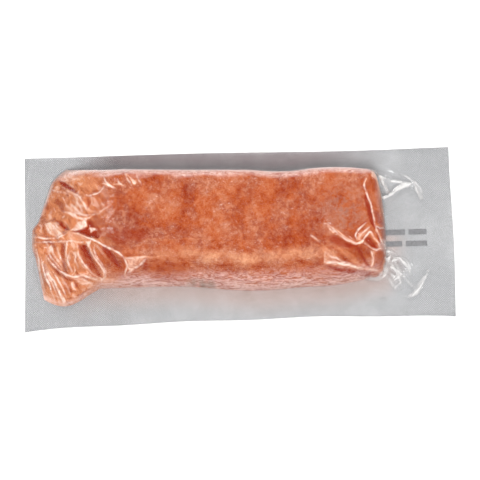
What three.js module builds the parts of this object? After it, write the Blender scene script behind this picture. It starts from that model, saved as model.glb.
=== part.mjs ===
// A skinless salmon portion, vacuum sealed between two webs of clear film.
// The pack lies on its flat base web. The top web was formed as a pocket a little larger than the fish,
// so it clings to the fish in the middle and is gathered into folds at both ends.
// Millimetres, +X along the pack, +Y to its far side, +Z up, origin under the middle of the pack.

import * as THREE from "three";

const pack = {
  left: { near: [-102.7, -43.3], far: [-102.3, 43.7] },
  right: { near: [102.4, -41.5], far: [102.8, 43.1] },
  film: 0.3, // both webs, welded
  pullIn: 2.4, // how far the vacuum draws the near edge in
  seal: 6, // width of the welded band round the pocket
  lift: 0.7, // how far the free edge of the band stands off the table
};

const fish = {
  height: 22.5,
  leftHeight: 8, // the thin end
  thinFrom: -100,
  thinTo: -50,
  rightDrop: 2.2,
};

// How the film climbs each side of the fish: the width of the shoulder, and its roundness.
const shoulder = {
  near: { width: 12, power: 1.5 },
  far: { width: 7, power: 2.2 },
  left: { width: 19, power: 1.5 },
  right: { width: 6, power: 2.4 },
};

// The sloping film between the foot of the fish and the base web.
const skirt = { height: 1.8, near: 8, other: 2.6 };

// Folds that stand on the fish: start, middle, end, height, half width.
const leftFolds = [
  [[-84.4, 31.5], [-75.0, 19.0], [-66.1, 9.1], 2.3, 4.4],
  [[-63.6, 22.4], [-67.3, 18.3], [-73.6, 20.0], 1.6, 3.6],
  [[-84.5, 13.9], [-75.0, 10.2], [-66.1, 9.1], 1.6, 3.8],
  [[-75.0, 9.3], [-72.2, 4.2], [-79.2, 2.5], 1.8, 3.8],
  [[-89.8, 10.0], [-86.5, 6.3], [-82.6, 1.8], 1.6, 3.4],
  [[-92.9, 8.9], [-89.9, 4.3], [-86.0, -0.4], 1.4, 3.4],
  [[-97.8, 2.9], [-89.5, 0.4], [-80.3, 2.3], 2.6, 4.2],
  [[-97.8, 0.6], [-86.0, -2.0], [-72.3, -3.9], 2.1, 4.2],
  [[-80.3, 2.5], [-66.5, -5.4], [-54.1, -13.8], 3.4, 5.0],
  [[-54.1, -13.8], [-52.4, -17.3], [-54.4, -20.0], 2.0, 3.8],
  [[-71.2, -4.0], [-68.5, -13.0], [-63.2, -20.0], 3.0, 4.4],
  [[-83.4, -2.6], [-82.2, -5.9], [-82.0, -9.7], 1.5, 3.4],
  [[-80.2, -7.1], [-81.1, -13.5], [-79.5, -19.4], 1.6, 3.4],
  [[-76.5, -5.1], [-74.6, -13.2], [-65.5, -20.5], 2.3, 4.0],
  [[-94.0, -7.2], [-85.0, -17.4], [-65.1, -20.5], 3.4, 5.0],
  [[-95.3, -6.9], [-92.4, -16.4], [-88.3, -28.9], 2.0, 3.4],
  [[-92.9, -10.8], [-88.4, -20.9], [-84.2, -29.6], 2.0, 3.4],
  [[-88.6, -15.4], [-84.0, -23.8], [-82.6, -28.2], 1.6, 3.4],
  [[-52.5, -19.5], [-48.3, -17.3], [-43.8, -14.1], 1.4, 3.4],
  [[-63.4, 27.2], [-62.0, 24.0], [-58.2, 20.4], 1.2, 3.4],
  [[-53.0, 27.5], [-51.5, 24.2], [-49.3, 20.7], 1.4, 3.4],
];

const rightFolds = [
  [[61.5, 22.6], [60.4, 17.0], [64.8, -1.6], 2.1, 3.8],
  [[64.8, -1.6], [66.3, -6.2], [69.0, -9.4], 2.0, 3.4],
  [[55.8, -8.1], [55.4, -4.5], [60.7, 0.2], 2.1, 3.8],
  [[40.3, -0.2], [48.5, -6.2], [58.4, -9.4], 2.5, 4.2],
  [[58.4, -9.4], [62.0, -4.1], [66.7, -10.8], 2.1, 3.6],
  [[59.3, -9.5], [63.6, -12.4], [68.6, -10.8], 1.9, 3.6],
  [[62.4, -12.6], [63.7, -15.4], [63.4, -18.2], 1.8, 3.6],
  [[34.0, -5.3], [36.2, -7.5], [38.4, -9.3], 1.3, 3.4],
  [[40.1, -17.7], [54.0, -18.9], [68.1, -19.4], 2.5, 4.2],
  [[40.0, -13.1], [46.0, -16.6], [54.7, -18.3], 1.3, 3.8],
];

// Creases of loose film beyond the fish: start, middle, end, height at the start, at the end, half width.
const looseFilm = [
  [[67.2, 26.5], [76.0, 25.4], [85.8, 26.0], 14.0, 1.6, 4.8],
  [[69.9, 17.2], [77.0, 22.2], [85.8, 25.7], 8.0, 1.8, 4.0],
  [[78.8, 30.3], [86.2, 26.4], [89.7, 17.1], 1.4, 1.4, 3.4],
  [[73.1, -14.0], [79.1, -14.5], [84.1, -21.9], 5.0, 0.8, 4.0],
  [[71.9, -16.7], [77.5, -20.4], [83.0, -26.5], 5.0, 0.8, 4.0],
  [[68.8, -20.9], [73.0, -25.4], [76.6, -27.8], 5.0, 0.8, 4.0],
  [[80.5, -32.2], [86.7, -25.2], [90.3, -18.4], 1.8, 1.6, 3.6],
  [[68.5, -10.2], [72.1, -9.2], [75.2, -10.7], 7.0, 2.0, 4.0],
];

const underMiddle = [-14, 4]; // under the middle of the fish

// Mesh lines between the cut edge, the foot of the fish and the cut edge beyond it. Each zone runs from
// one of these to the next, and the fish's own is split where the folds need a finer mesh.
const columnZones = [
  { from: 0, to: 1, count: 4 },
  { from: 1, to: 1.3, count: 30 },
  { from: 1.3, to: 1.78, count: 13 },
  { from: 1.78, to: 2, count: 20 },
  { from: 2, to: 3, count: 17 },
];
const rowZones = [
  { from: 0, to: 1, count: 8 },
  { from: 1, to: 2, count: 28, bunched: 0.4 },
  { from: 2, to: 3, count: 5 },
];

const mix = (a, b, t) => a + (b - a) * t;
const clamp01 = (t) => Math.min(1, Math.max(0, t));
const ease = (from, to, v) => {
  const t = clamp01((v - from) / (to - from));
  return t * t * (3 - 2 * t);
};
const bump = (v, centre, reach) => Math.max(0, 1 - ((v - centre) / reach) ** 2) ** 2;

// The smaller of two values, with the corner between them rounded over a range k.
function softMin(a, b, k) {
  const h = Math.max(k - Math.abs(a - b), 0) / k;
  return Math.min(a, b) - (h * h * k) / 4;
}

const softMax = (a, b, k) => -softMin(-a, -b, k);

// The cut edges of the pack, for a share s along it and a share t across it.
const leftEdge = (t) => mix(pack.left.near[0], pack.left.far[0], t) + 0.3 * bump(t, 0.5, 0.5);
const rightEdge = (t) => mix(pack.right.near[0], pack.right.far[0], t) + 0.7 * bump(t, 0.4, 0.5);
const farEdge = (s) => mix(pack.left.far[1], pack.right.far[1], s) + 0.35 * Math.sin(9 * s - 1.6);

function nearEdge(s) {
  const drawn = pack.pullIn * (1 - (2 * s - 1) ** 4);
  return mix(pack.left.near[1], pack.right.near[1], s) + drawn + 0.3 * Math.sin(21 * s);
}

// The foot of the fish on the base web. The thin end runs to a blunt point, and a flap of it hangs
// over the near corner.
function fishNear(x) {
  const belly = 3.2 * bump(x, 10, 42) + 1.6 * bump(x, 48, 22);
  const flap = 8.2 * bump(x, -84, 19);
  return -22.6 - belly - flap + 2.4 * ease(40, 70, x);
}

function fishFar(x) {
  const corner = 3.2 * (1 - ease(-88, -60, x));
  return 34.5 - 0.033 * (x + 77) + 1.8 * bump(x, 50, 26) - 0.8 * bump(x, 20, 17) + corner;
}

function fishLeft(y) {
  const above = 2.6 * ease(6, 12, y) + 0.33 * Math.max(0, y - 9) + 0.07 * Math.max(0, y - 29) ** 2;
  const below = 1.5 * ease(-1, -7, y) + 0.19 * Math.max(0, -5 - y);
  return -99.2 + above + below;
}

const fishRight = (y) => 70.8 - 0.0035 * (y + 2.4) ** 2 - 0.02 * Math.max(0, -12 - y) ** 2;

// Distances inside each side of the fish, negative outside it.
function insets(x, y) {
  return {
    near: y - fishNear(x),
    far: fishFar(x) - y,
    left: 0.93 * (x - fishLeft(y)),
    right: fishRight(y) - x,
  };
}

function climb(inset, { width, power }) {
  const left = 1 - clamp01(inset / width);
  return (1 - left ** power) ** (1 / power);
}

function fishHeight(x, y) {
  const thin = mix(fish.leftHeight, fish.height, ease(fish.thinFrom, fish.thinTo, x));
  const rolling = 0.45 * Math.sin(x / 15 + 0.6) + 0.35 * Math.sin(y / 7 + x / 31);
  return thin - fish.rightDrop * ease(35, 72, x) + rolling * ease(-80, -40, x);
}

// Distance from a point to a bowed line, and how far along the line that is.
function besideLine(x, y, [from, middle, to]) {
  const bend = [0, 1].map((k) => 2 * middle[k] - (from[k] + to[k]) / 2);
  const at = (t, k) => mix(mix(from[k], bend[k], t), mix(bend[k], to[k], t), t);
  const steps = 12;
  let best = { gap: Infinity, along: 0 };
  for (let n = 0; n < steps; n++) {
    const [a, b] = [n / steps, (n + 1) / steps];
    const [ax, ay, bx, by] = [at(a, 0), at(a, 1), at(b, 0), at(b, 1)];
    const [dx, dy] = [bx - ax, by - ay];
    const t = clamp01(((x - ax) * dx + (y - ay) * dy) / (dx * dx + dy * dy));
    const gap = Math.hypot(x - ax - t * dx, y - ay - t * dy);
    if (gap < best.gap) best = { gap, along: mix(a, b, t) };
  }
  return best;
}

// A pinched fold, which dies out at its ends.
function foldHeight(x, y, [from, middle, to, height, width]) {
  const { gap, along } = besideLine(x, y, [from, middle, to]);
  const ends = Math.min(1, 6 * along, 6 * (1 - along));
  return height * ends * bump(gap, 0, width);
}

function looseHeight(x, y, [from, middle, to, start, end, width]) {
  const { gap, along } = besideLine(x, y, [from, middle, to]);
  const crest = end + (start - end) * (1 - along) ** 1.6;
  return crest * bump(gap, 0, width * (1 - 0.4 * along));
}

const tallest = (folds, height) => Math.max(0, ...folds.map(height));

// The height of the top web over the base web.
function webHeight(x, y) {
  const { near, far, left, right } = insets(x, y);
  const sides = climb(near, shoulder.near) * climb(far, shoulder.far);
  const ends = climb(left, shoulder.left) * climb(right, shoulder.right);
  const share = sides * ends;
  const folds = tallest([...leftFolds, ...rightFolds], (f) => foldHeight(x, y, f));
  const body = fishHeight(x, y) * share + folds * Math.min(1, 2 * share);

  const outside = -softMin(softMin(near, far, 4), softMin(left, right, 4), 6);
  const reach = mix(skirt.other, skirt.near, bump(x, -5, 75) * ease(0, -12, y));
  const slope = skirt.height * (1 - clamp01(outside / reach)) ** 2;
  const loose = tallest(looseFilm, (f) => looseHeight(x, y, f));
  return softMax(body, Math.max(slope, loose), 1.2) * inPocket(x, y);
}

// 1 over the pocket and 0 over the welded band, with s and t the shares along and across the pack.
function shares(x, y) {
  const s = clamp01((x - pack.left.near[0]) / (pack.right.near[0] - pack.left.near[0]));
  const t = clamp01((y - nearEdge(s)) / (farEdge(s) - nearEdge(s)));
  return [s, t];
}

function edgeDistance(x, y) {
  const [s, t] = shares(x, y);
  const ends = softMin(x - leftEdge(t), rightEdge(t) - x, 4);
  const sides = softMin(y - nearEdge(s), farEdge(s) - y, 4);
  return softMin(ends, sides, 4);
}

const inPocket = (x, y) => ease(2.4, 5.2, edgeDistance(x, y));

// The free edge of the band curls a little off the table, unevenly.
function bandLift(x, y) {
  const curl = clamp01(1 - edgeDistance(x, y) / pack.seal);
  const uneven = 1 + 0.45 * Math.sin(x / 19 + 0.8) + 0.35 * Math.cos(y / 13 + 0.4);
  return pack.lift * curl * curl * uneven;
}

// Every mesh line of some zones. A bunched zone has its lines closer together at both ends.
function meshLines(zones) {
  const lines = [zones[0].from];
  for (const { from, to, count, bunched = 0 } of zones) {
    for (let n = 1; n <= count; n++) {
      const t = n / count;
      lines.push(mix(from, to, t - (bunched * Math.sin(2 * Math.PI * t)) / (2 * Math.PI)));
    }
  }
  return lines;
}

// A place between four stations, such as cut edge, foot, foot and cut edge.
function between(stations, v) {
  const n = Math.min(stations.length - 2, Math.floor(v));
  return mix(stations[n], stations[n + 1], v - n);
}

// The plan position of a mesh line's crossing: the lines follow the foot of the fish.
function planPoint(column, row) {
  let [x, y] = [mix(-100, 100, column / 3), mix(-40, 40, row / 3)];
  for (let n = 0; n < 12; n++) {
    const [s, t] = shares(x, y);
    const rightFoot = Math.min(fishRight(y), rightEdge(t) - 20);
    x = between([leftEdge(t), Math.max(fishLeft(y), leftEdge(t) + 3), rightFoot, rightEdge(t)], column);
    y = between([nearEdge(s), fishNear(x), fishFar(x), farEdge(s)], row);
  }
  return [x, y];
}

// One closed solid: the top web as a height over a grid, and under it the base web, which follows the
// band and is a flat face inside it.
function packGeometry() {
  const along = meshLines(columnZones);
  const across = meshLines(rowZones);
  const [lastI, lastJ] = [along.length - 1, across.length - 1];
  const points = [];
  const triangles = [];
  const add = (x, y, z) => points.push([x, y, z]) - 1;
  const quad = (a, b, c, d) => triangles.push([a, b, c], [a, c, d]);

  const plan = along.map((column) => across.map((row) => planPoint(column, row)));
  const top = plan.map((line) =>
    line.map(([x, y]) => add(x, y, bandLift(x, y) + pack.film + webHeight(x, y))),
  );

  const inset = (i, j) => Math.min(i, j, lastI - i, lastJ - j);
  const bandAt = (i, j) => edgeDistance(...plan[i][j]) < pack.seal;
  let bandLines = 1;
  while (plan.some((line, i) => line.some((_, j) => inset(i, j) === bandLines && bandAt(i, j)))) {
    bandLines += 1;
  }
  const under = plan.map((line, i) =>
    line.map(([x, y], j) => (inset(i, j) <= bandLines ? add(x, y, bandLift(x, y)) : -1)),
  );

  for (let i = 0; i < lastI; i++) {
    for (let j = 0; j < lastJ; j++) {
      quad(top[i][j], top[i + 1][j], top[i + 1][j + 1], top[i][j + 1]);
      if (inset(i, j) < bandLines || inset(i + 1, j + 1) < bandLines) {
        quad(under[i][j], under[i][j + 1], under[i + 1][j + 1], under[i + 1][j]);
      }
    }
  }

  // The cut edge all round, then the flat face inside the band, as a fan round its middle.
  edgesOf(loop(0, lastI, lastJ)).forEach(([[i, j], [k, l]]) => {
    quad(under[i][j], under[k][l], top[k][l], top[i][j]);
  });
  const middle = add(...underMiddle, 0);
  edgesOf(loop(bandLines, lastI, lastJ)).forEach(([[i, j], [k, l]]) => {
    triangles.push([middle, under[k][l], under[i][j]]);
  });

  const geometry = new THREE.BufferGeometry();
  geometry.setAttribute("position", new THREE.Float32BufferAttribute(points.flat(), 3));
  geometry.setIndex(triangles.flat());
  geometry.computeVertexNormals();
  return geometry;
}

// The grid places of the rectangle that lies n lines in from the edge, anticlockwise from above.
function loop(n, lastI, lastJ) {
  const [right, far] = [lastI - n, lastJ - n];
  const places = [];
  for (let i = n; i < right; i++) places.push([i, n]);
  for (let j = n; j < far; j++) places.push([right, j]);
  for (let i = right; i > n; i--) places.push([i, far]);
  for (let j = far; j > n; j--) places.push([n, j]);
  return places;
}

const edgesOf = (places) => places.map((place, n) => [place, places[(n + 1) % places.length]]);

const salmonUnderFilm = new THREE.MeshStandardMaterial({
  color: new THREE.Color(0.78, 0.4, 0.26),
  roughness: 0.25,
  metalness: 0,
});

const sealedPortion = new THREE.Mesh(packGeometry(), salmonUnderFilm);
sealedPortion.name = "sealed_salmon_portion";

const group = new THREE.Group();
group.add(sealedPortion);

export default group;
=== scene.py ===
# A frozen skinless salmon portion, vacuum sealed between two webs of clear film.
# Shapes are worked out in millimetres, along and across the pack, and the meshes are made in metres.

import math
import bpy
import numpy as np
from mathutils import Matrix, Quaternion, Vector


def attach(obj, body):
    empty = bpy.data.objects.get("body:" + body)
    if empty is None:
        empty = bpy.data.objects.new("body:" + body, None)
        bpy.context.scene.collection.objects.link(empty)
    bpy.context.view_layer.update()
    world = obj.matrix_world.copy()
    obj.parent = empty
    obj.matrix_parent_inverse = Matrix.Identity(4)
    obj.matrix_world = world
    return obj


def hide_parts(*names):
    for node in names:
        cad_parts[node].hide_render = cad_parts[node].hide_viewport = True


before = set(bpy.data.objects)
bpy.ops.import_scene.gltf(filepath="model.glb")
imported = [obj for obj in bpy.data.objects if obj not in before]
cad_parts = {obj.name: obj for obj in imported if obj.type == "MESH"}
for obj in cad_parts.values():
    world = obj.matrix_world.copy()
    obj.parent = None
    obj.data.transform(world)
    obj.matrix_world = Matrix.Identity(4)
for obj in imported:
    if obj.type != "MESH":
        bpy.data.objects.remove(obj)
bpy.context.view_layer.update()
mm = 0.001  # Blender works in metres

pack = {
    "left": {"near": (-102.7, -43.3), "far": (-102.3, 43.7)},
    "right": {"near": (102.4, -41.5), "far": (102.8, 43.1)},
    "pullIn": 2.4,  # how far the vacuum draws the near edge in
    "seal": 6,  # width of the welded band round the pocket
    "lift": 0.7,  # how far the free edge of the band stands off the table
    "web": 0.12,  # thickness of each web of film
    "gap": 0.06,  # between the webs where nothing is between them
}

fish = {
    "height": 22.5,
    "leftHeight": 8,
    "thinFrom": -100,  # where its thin left end begins to rise
    "thinTo": -50,
    "rightDrop": 2.2,  # how much lower it is at its right end
}

# How the film climbs each side of the fish: the width of the shoulder, and its roundness.
shoulder = {
    "near": {"width": 12, "power": 1.5},
    "far": {"width": 7, "power": 2.2},
    "left": {"width": 19, "power": 1.5},
    "right": {"width": 6, "power": 2.4},
}

skirt = {"height": 1.8, "near": 8, "other": 2.6}  # sloping film round the foot of the fish

# Crests of the film on the fish: heights over it from end to end, and then the places they pass.
crests = [
    ((0.4, 1.6, 1.2), (-84.4, 27.6), (-82.1, 24.5), (-78.8, 21.8), (-75.4, 18.8), (-72.9, 15.2),
     (-71.9, 12.0), (-66.1, 9.2)),
    ((0.3, 1.4, 0.8), (-63.6, 22.4), (-64.7, 20.0), (-67.3, 18.5), (-70.3, 18.4), (-73.6, 20.0)),
    ((0.9, 0.8, 0.2), (-69.9, 18.3), (-69.0, 15.7), (-69.7, 13.5)),
    ((0.5, 1.5, 0.4), (-84.5, 13.9), (-79.0, 12.0), (-72.7, 9.3), (-66.1, 9.1)),
    ((0.8, 1.4, 1.6), (-75.0, 9.3), (-72.0, 4.6), (-72.8, 2.8), (-79.2, 2.5)),
    ((0.6, 1.3, 1.4), (-89.8, 10.0), (-86.5, 6.3), (-82.6, 1.8)),
    ((0.5, 1.2, 1.3), (-92.9, 8.9), (-89.9, 4.3), (-86.0, -0.4)),
    ((1.6, 2.2, 2.2), (-97.8, 2.9), (-91.5, 0.8), (-86.3, -0.1), (-80.3, 2.3)),
    ((1.6, 1.9, 0.6), (-97.8, 0.6), (-90.1, -1.2), (-81.2, -2.7), (-72.3, -3.9)),
    ((2.2, 2.8, 1.8), (-80.3, 2.5), (-72.3, -1.5), (-65.0, -6.4), (-59.2, -10.2), (-54.1, -13.8),
     (-52.4, -17.3), (-54.4, -20.0)),
    ((1.2, 2.4, 2.2), (-71.2, -4.0), (-70.3, -8.7), (-68.9, -12.6), (-66.0, -15.6), (-63.7, -18.3),
     (-63.2, -20.0), (-65.1, -20.5)),
    ((0.6, 1.8, 0.8), (-68.0, -6.4), (-68.8, -8.2), (-67.8, -12.0), (-64.9, -15.4), (-62.8, -18.8)),
    ((1.2, 1.2, 0.3), (-83.4, -2.6), (-82.2, -5.9), (-82.0, -9.7)),
    ((0.4, 1.5, 0.8), (-80.2, -7.1), (-81.4, -10.6), (-80.8, -14.5), (-79.0, -17.8), (-79.5, -19.4)),
    ((0.4, 1.2, 0.3), (-79.5, -6.5), (-77.3, -9.9), (-78.0, -14.4)),
    ((1.0, 1.7, 2.0), (-76.5, -5.1), (-75.9, -10.2), (-72.7, -15.9), (-69.1, -19.2), (-65.5, -20.5)),
    ((0.3, 1.0, 0.4), (-91.3, -4.0), (-89.2, -8.9), (-83.8, -15.7)),
    ((0.6, 1.0, 0.4), (-89.7, -2.4), (-87.3, -8.6), (-83.0, -15.5)),
    ((0.4, 0.9, 0.3), (-86.8, -3.0), (-85.1, -9.1), (-81.4, -16.3)),
    ((1.4, 2.8, 2.2), (-92.3, -6.9), (-89.8, -10.8), (-86.0, -14.8), (-82.2, -18.3), (-78.9, -20.2),
     (-73.7, -20.3), (-65.0, -20.6)),
    ((0.9, 2.1, 0.8), (-97.0, -2.8), (-95.6, -12.0), (-93.0, -24.0)),
    ((1.0, 2.6, 1.4), (-95.3, -6.9), (-92.4, -16.4), (-88.3, -28.9)),
    ((0.9, 2.7, 1.4), (-92.9, -10.8), (-88.4, -20.9), (-84.2, -29.6)),
    ((0.8, 2.2, 1.2), (-88.6, -15.4), (-84.0, -23.8), (-82.6, -28.2)),
    ((0.6, 1.9, 1.0), (-94.0, -9.0), (-90.4, -18.5), (-86.2, -29.4)),
    ((0.6, 1.8, 0.8), (-84.5, -19.0), (-81.5, -24.0), (-80.4, -27.0)),
    ((0.9, 0.8, 0.2), (-79.9, -21.6), (-79.2, -24.0), (-77.8, -25.1)),
    ((0.5, 0.8, 0.2), (-77.9, -21.5), (-75.5, -22.7), (-71.9, -22.5)),
    ((0.4, 0.7, 0.2), (-74.7, -21.2), (-72.9, -21.8), (-70.0, -22.3)),
    ((0.6, 1.1, 0.6), (-52.5, -19.5), (-48.3, -17.3), (-43.8, -14.1)),
    ((0.8, 0.8, 0.2), (-53.4, -13.9), (-48.9, -14.0), (-43.8, -13.2)),
    ((0.4, 1.1, 0.3), (-63.4, 27.2), (-62.5, 24.4), (-58.2, 20.4)),
    ((0.4, 1.1, 0.3), (-56.7, 25.3), (-56.1, 22.9), (-52.8, 20.8)),
    ((0.5, 1.2, 0.3), (-53.0, 27.5), (-51.5, 24.2), (-49.3, 20.7)),
    ((0.3, 0.8, 0.2), (-47.8, 26.5), (-46.8, 24.1), (-45.0, 21.7)),
    ((0.6, 0.8, 0.3), (-86.3, 31.8), (-81.9, 29.2), (-74.8, 28.0)),
    ((0.3, 0.7, 0.3), (-81.8, 32.0), (-78.2, 29.0), (-74.4, 29.2)),
    ((0.3, 0.8, 0.5), (-78.8, 18.5), (-75.9, 15.4), (-73.6, 11.2)),
    ((0.3, 0.7, 0.4), (-80.0, 16.8), (-77.1, 12.9), (-73.5, 9.8)),
    ((0.2, 0.7, 0.3), (-90.1, 27.6), (-86.4, 24.9), (-82.0, 22.6)),
    ((0.3, 0.9, 0.3), (-69.9, 2.8), (-68.5, 2.2), (-67.6, 1.3)),
    ((1.0, 0.8, 0.2), (-66.1, 9.1), (-64.2, 10.0), (-62.3, 11.3)),
    ((0.3, 1.5, 1.7), (61.5, 22.6), (60.3, 19.9), (60.4, 17.9), (62.0, 14.0), (63.3, 8.5), (64.8, -1.6)),
    ((1.4, 0.8, 0.5), (64.8, -1.6), (67.2, -2.4), (69.6, -0.5)),
    ((1.6, 1.5, 1.2), (64.8, -1.6), (65.8, -4.5), (67.2, -7.8), (69.0, -9.4)),
    ((1.2, 1.8, 0.5), (55.8, -8.1), (55.2, -6.0), (57.3, -2.9), (60.7, 0.2)),
    ((1.2, 1.0, 0.8), (57.2, -7.2), (59.0, -4.3), (62.7, -1.8)),
    ((0.4, 1.8, 1.8), (40.3, -0.2), (42.4, -0.2), (44.7, -2.2), (47.2, -4.9), (50.5, -8.0), (54.6, -10.2),
     (58.4, -9.4)),
    ((0.8, 0.9, 0.2), (42.3, -0.8), (43.8, -2.9), (46.0, -4.2)),
    ((1.4, 1.6, 1.3), (58.4, -9.4), (59.7, -7.2), (62.0, -4.1), (63.7, -6.1), (65.7, -8.9), (66.7, -10.8)),
    ((1.4, 1.4, 1.0), (59.3, -9.5), (62.4, -11.7), (65.4, -12.6), (68.6, -10.8)),
    ((1.0, 1.4, 0.8), (62.4, -12.6), (63.5, -15.4), (63.4, -18.2)),
    ((0.2, 1.2, 0.2), (34.0, -5.3), (36.2, -7.5), (38.4, -9.3)),
    ((0.8, 1.9, 1.2), (40.1, -17.7), (45.7, -18.0), (51.7, -18.6), (59.1, -19.3), (68.1, -19.4)),
    ((0.3, 1.0, 0.5), (40.0, -13.1), (43.6, -15.5), (48.9, -17.5), (54.7, -18.3)),
    ((0.6, 1.0, 0.4), (40.6, -13.1), (40.4, -15.5), (40.9, -17.4)),
]

# Crests of the loose film beyond the fish: their heights over the table, and the places they pass.
looseCrests = [
    ((14, 9, 4.5, 2.4, 1.6), (67.2, 26.5), (70.9, 26.3), (76.1, 25.4), (81.3, 25.1), (85.8, 26.0)),
    ((8, 4.5, 2.6, 1.8), (69.9, 17.2), (74.4, 20.4), (79.0, 23.9), (85.8, 25.7)),
    ((0.8, 1.2, 1.8, 1.4, 0.8), (78.8, 30.3), (82.9, 28.5), (86.2, 26.3), (88.3, 22.5), (89.7, 17.1)),
    ((1.6, 1.2, 1.0, 0.6), (85.8, 25.8), (86.3, 22.2), (87.9, 18.7), (88.7, 17.5)),
    ((9, 4, 2), (69.3, 24.7), (71.1, 22.2), (72.1, 18.9)),
    ((5, 3.6, 2.6, 1.6, 0.8), (73.1, -14.0), (76.9, -12.6), (79.1, -14.5), (81.6, -18.9), (84.1, -21.9)),
    ((2.4, 1.8, 0.8), (79.2, -12.7), (80.9, -15.7), (83.2, -19.4)),
    ((5, 2.6, 1.6, 0.8), (71.9, -16.7), (77.1, -19.9), (80.7, -23.6), (83.0, -26.5)),
    ((5, 2.8, 1.8, 0.8), (68.8, -20.9), (71.4, -23.5), (73.5, -26.0), (76.6, -27.8)),
    ((4, 2.2, 1), (71.1, -19.5), (74.0, -22.8), (77.1, -25.6)),
    ((0.8, 1.4, 1.8, 1.4, 0.7), (80.5, -32.2), (83.6, -28.9), (86.7, -25.2), (89.0, -21.3), (90.3, -18.4)),
    ((0.8, 1.3, 0.8), (82.4, -30.7), (85.1, -27.4), (87.8, -23.8)),
    ((4.5, 3.4, 2.4, 1.2), (72.3, -15.8), (74.3, -13.6), (75.8, -16.5), (75.0, -20.2)),
    ((7, 4, 2), (68.5, -10.2), (72.1, -9.2), (75.2, -10.7)),
    ((7, 5, 3), (69.0, -14.5), (71.3, -13.2), (73.2, -10.0)),
]

# Facets of the film between the crests: how pale each is, where the film stands off the flesh and as its
# painted sheen, or below 0 how deep the hollow that it covers and how dark its painted shade, then its half
# widths from end to end, and the places it passes.
facets = [
    (0.45, (0.24, 0.58, 0.19), (-84.4, 27.8), (-82.1, 24.6), (-78.7, 22.1), (-75.4, 19.1)),
    (0.4, (0.29, 0.72, 0.24), (-84, 25), (-82.1, 22.5), (-79.2, 21.4)),
    (0.85, (0.58, 0.96, 0.19), (-64, 23.8), (-61.4, 22.7), (-57.3, 20.6)),
    (0.75, (0.19, 0.62, 0.19), (-59, 22.7), (-56.1, 22.5), (-53, 21)),
    (0.85, (0.19, 0.58, 1.44), (-53.1, 27.7), (-50.7, 25.7), (-48.4, 22.8)),
    (0.45, (0.19, 0.38, 0.19), (-88.2, 12.9), (-86.2, 12.4), (-84.3, 10.9)),
    (0.55, (0.19, 0.48, 0.19), (-84.4, 9.6), (-82.5, 6.8), (-80.4, 3.7)),
    (0.45, (0.38, 0.67, 0.58, 0.58, 0.29), (-98.3, 3.3), (-94.2, 1.8), (-88.5, -0.4), (-81.8, -2.3),
     (-74.1, -3.9)),
    (0.75, (0.3, 0.6, 0.8, 0.77, 0.48), (-70.3, -6.7), (-69, -11.4), (-66.3, -15), (-64, -18.1),
     (-64.1, -20.3)),
    (0.95, (0.86, 0.48, 0.24, 0.14), (-81.8, -3.3), (-82, -5.7), (-82.3, -8.6), (-82.3, -12.5)),
    (0.55, (0.19, 0.38, 0.19), (-86.4, -3.8), (-85.4, -8.9), (-84.1, -15.1)),
    (0.6, (0.24, 0.38, 0.38, 0.24), (-81.1, -12.3), (-80.2, -7.6), (-78.8, -7.1), (-78.2, -10.5),
     (-78.3, -15.4)),
    (0.9, (0.29, 0.48, 0.29), (-78.5, -14.8), (-77.9, -17.4), (-79.4, -19.2)),
    (0.7, (0.24, 0.48, 0.29), (-84.9, -26.6), (-84, -28.7), (-83.3, -29.8)),
    (0.7, (0.19, 0.34, 0.19), (-78.3, -24.2), (-77.9, -25), (-77.5, -25.8)),
    (0.6, (0.29, 0.58, 0.77, 0.29), (-76.8, -20.7), (-74.7, -22.1), (-72.8, -22.5), (-70, -23.2)),
    (0.4, (0.19, 0.38, 0.19), (-97.9, 0.2), (-96.4, -7.6), (-95.2, -15.9)),
    (0.6, (0.19, 0.48, 0.19), (-92.4, -2.1), (-93, -4.4), (-93.7, -6.7)),
    (0.6, (0.14, 0.38, 0.14), (-91.1, -6.3), (-92.3, -7.2), (-91.6, -8.6)),
    (0.55, (0.24, 0.77, 0.86, 0.29), (-76.6, -6.7), (-75.8, -11.4), (-74, -15.9), (-70.7, -18.3)),
    (0.6, (0.14, 0.34, 0.14), (63.3, 8.1), (64.1, 3), (64.7, -2)),
    (0.75, (0.19, 0.38, 0.19), (54.8, -5.7), (57, -2.7), (60.2, -0.2)),
    (0.85, (0.19, 0.48, 0.48, 0.58, 0.48, 0.24), (40.8, 0.3), (44.1, -1.5), (47.4, -3.7), (50.7, -6.9),
     (54, -9.4), (56.4, -10.1), (59.3, -8.7)),
    (0.6, (0.19, 0.38, 0.29), (42.2, -1.2), (44.1, -3.2), (45.9, -4.7)),
    (0.95, (0.19, 0.48, 0.24), (34.4, -5.6), (35.8, -7.1), (37.2, -8.6)),
    (0.3, (0.19, 0.29, 0.14), (37.2, -8.6), (39.1, -9.8), (41, -11.8)),
    (0.65, (0.24, 0.58, 0.29), (65.4, -3.5), (67.2, -6.8), (68.3, -9.8)),
    (0.7, (0.19, 0.43, 0.24), (59.7, -9.2), (62.1, -11.1), (63.9, -12.6)),
    (0.5, (0.24, 0.48, 0.24), (69.6, -13.5), (69.1, -16.1), (68, -18.7)),
    (-0.6, (0.19, 0.48, 0.19), (-78.5, 12), (-76.2, 10), (-73.3, 9)),
    (-0.5, (0.24, 0.77, 0.24), (-71.6, 18), (-70.5, 15.8), (-71, 12.9)),
    (-0.22, (1.44, 4.32, 3.36, 1.44), (-69.2, -0.4), (-60.5, -0.5), (-52, -3.1), (-42.4, -3.8)),
    (0.35, (0.2, 0.35, 0.3, 0.2), (-43, -4.8), (-30, -5.2), (-20, -5.4), (-11, -5.8)),
    (0.7, (0.3, 0.5, 0.35, 0.15), (-52, -13.6), (-44, -13.3), (-38, -13.3), (-32.5, -13.5)),
    (-0.5, (0.29, 0.77, 0.29), (-43.6, -14.2), (-44, -16.4), (-44.8, -18.4)),
]
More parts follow.
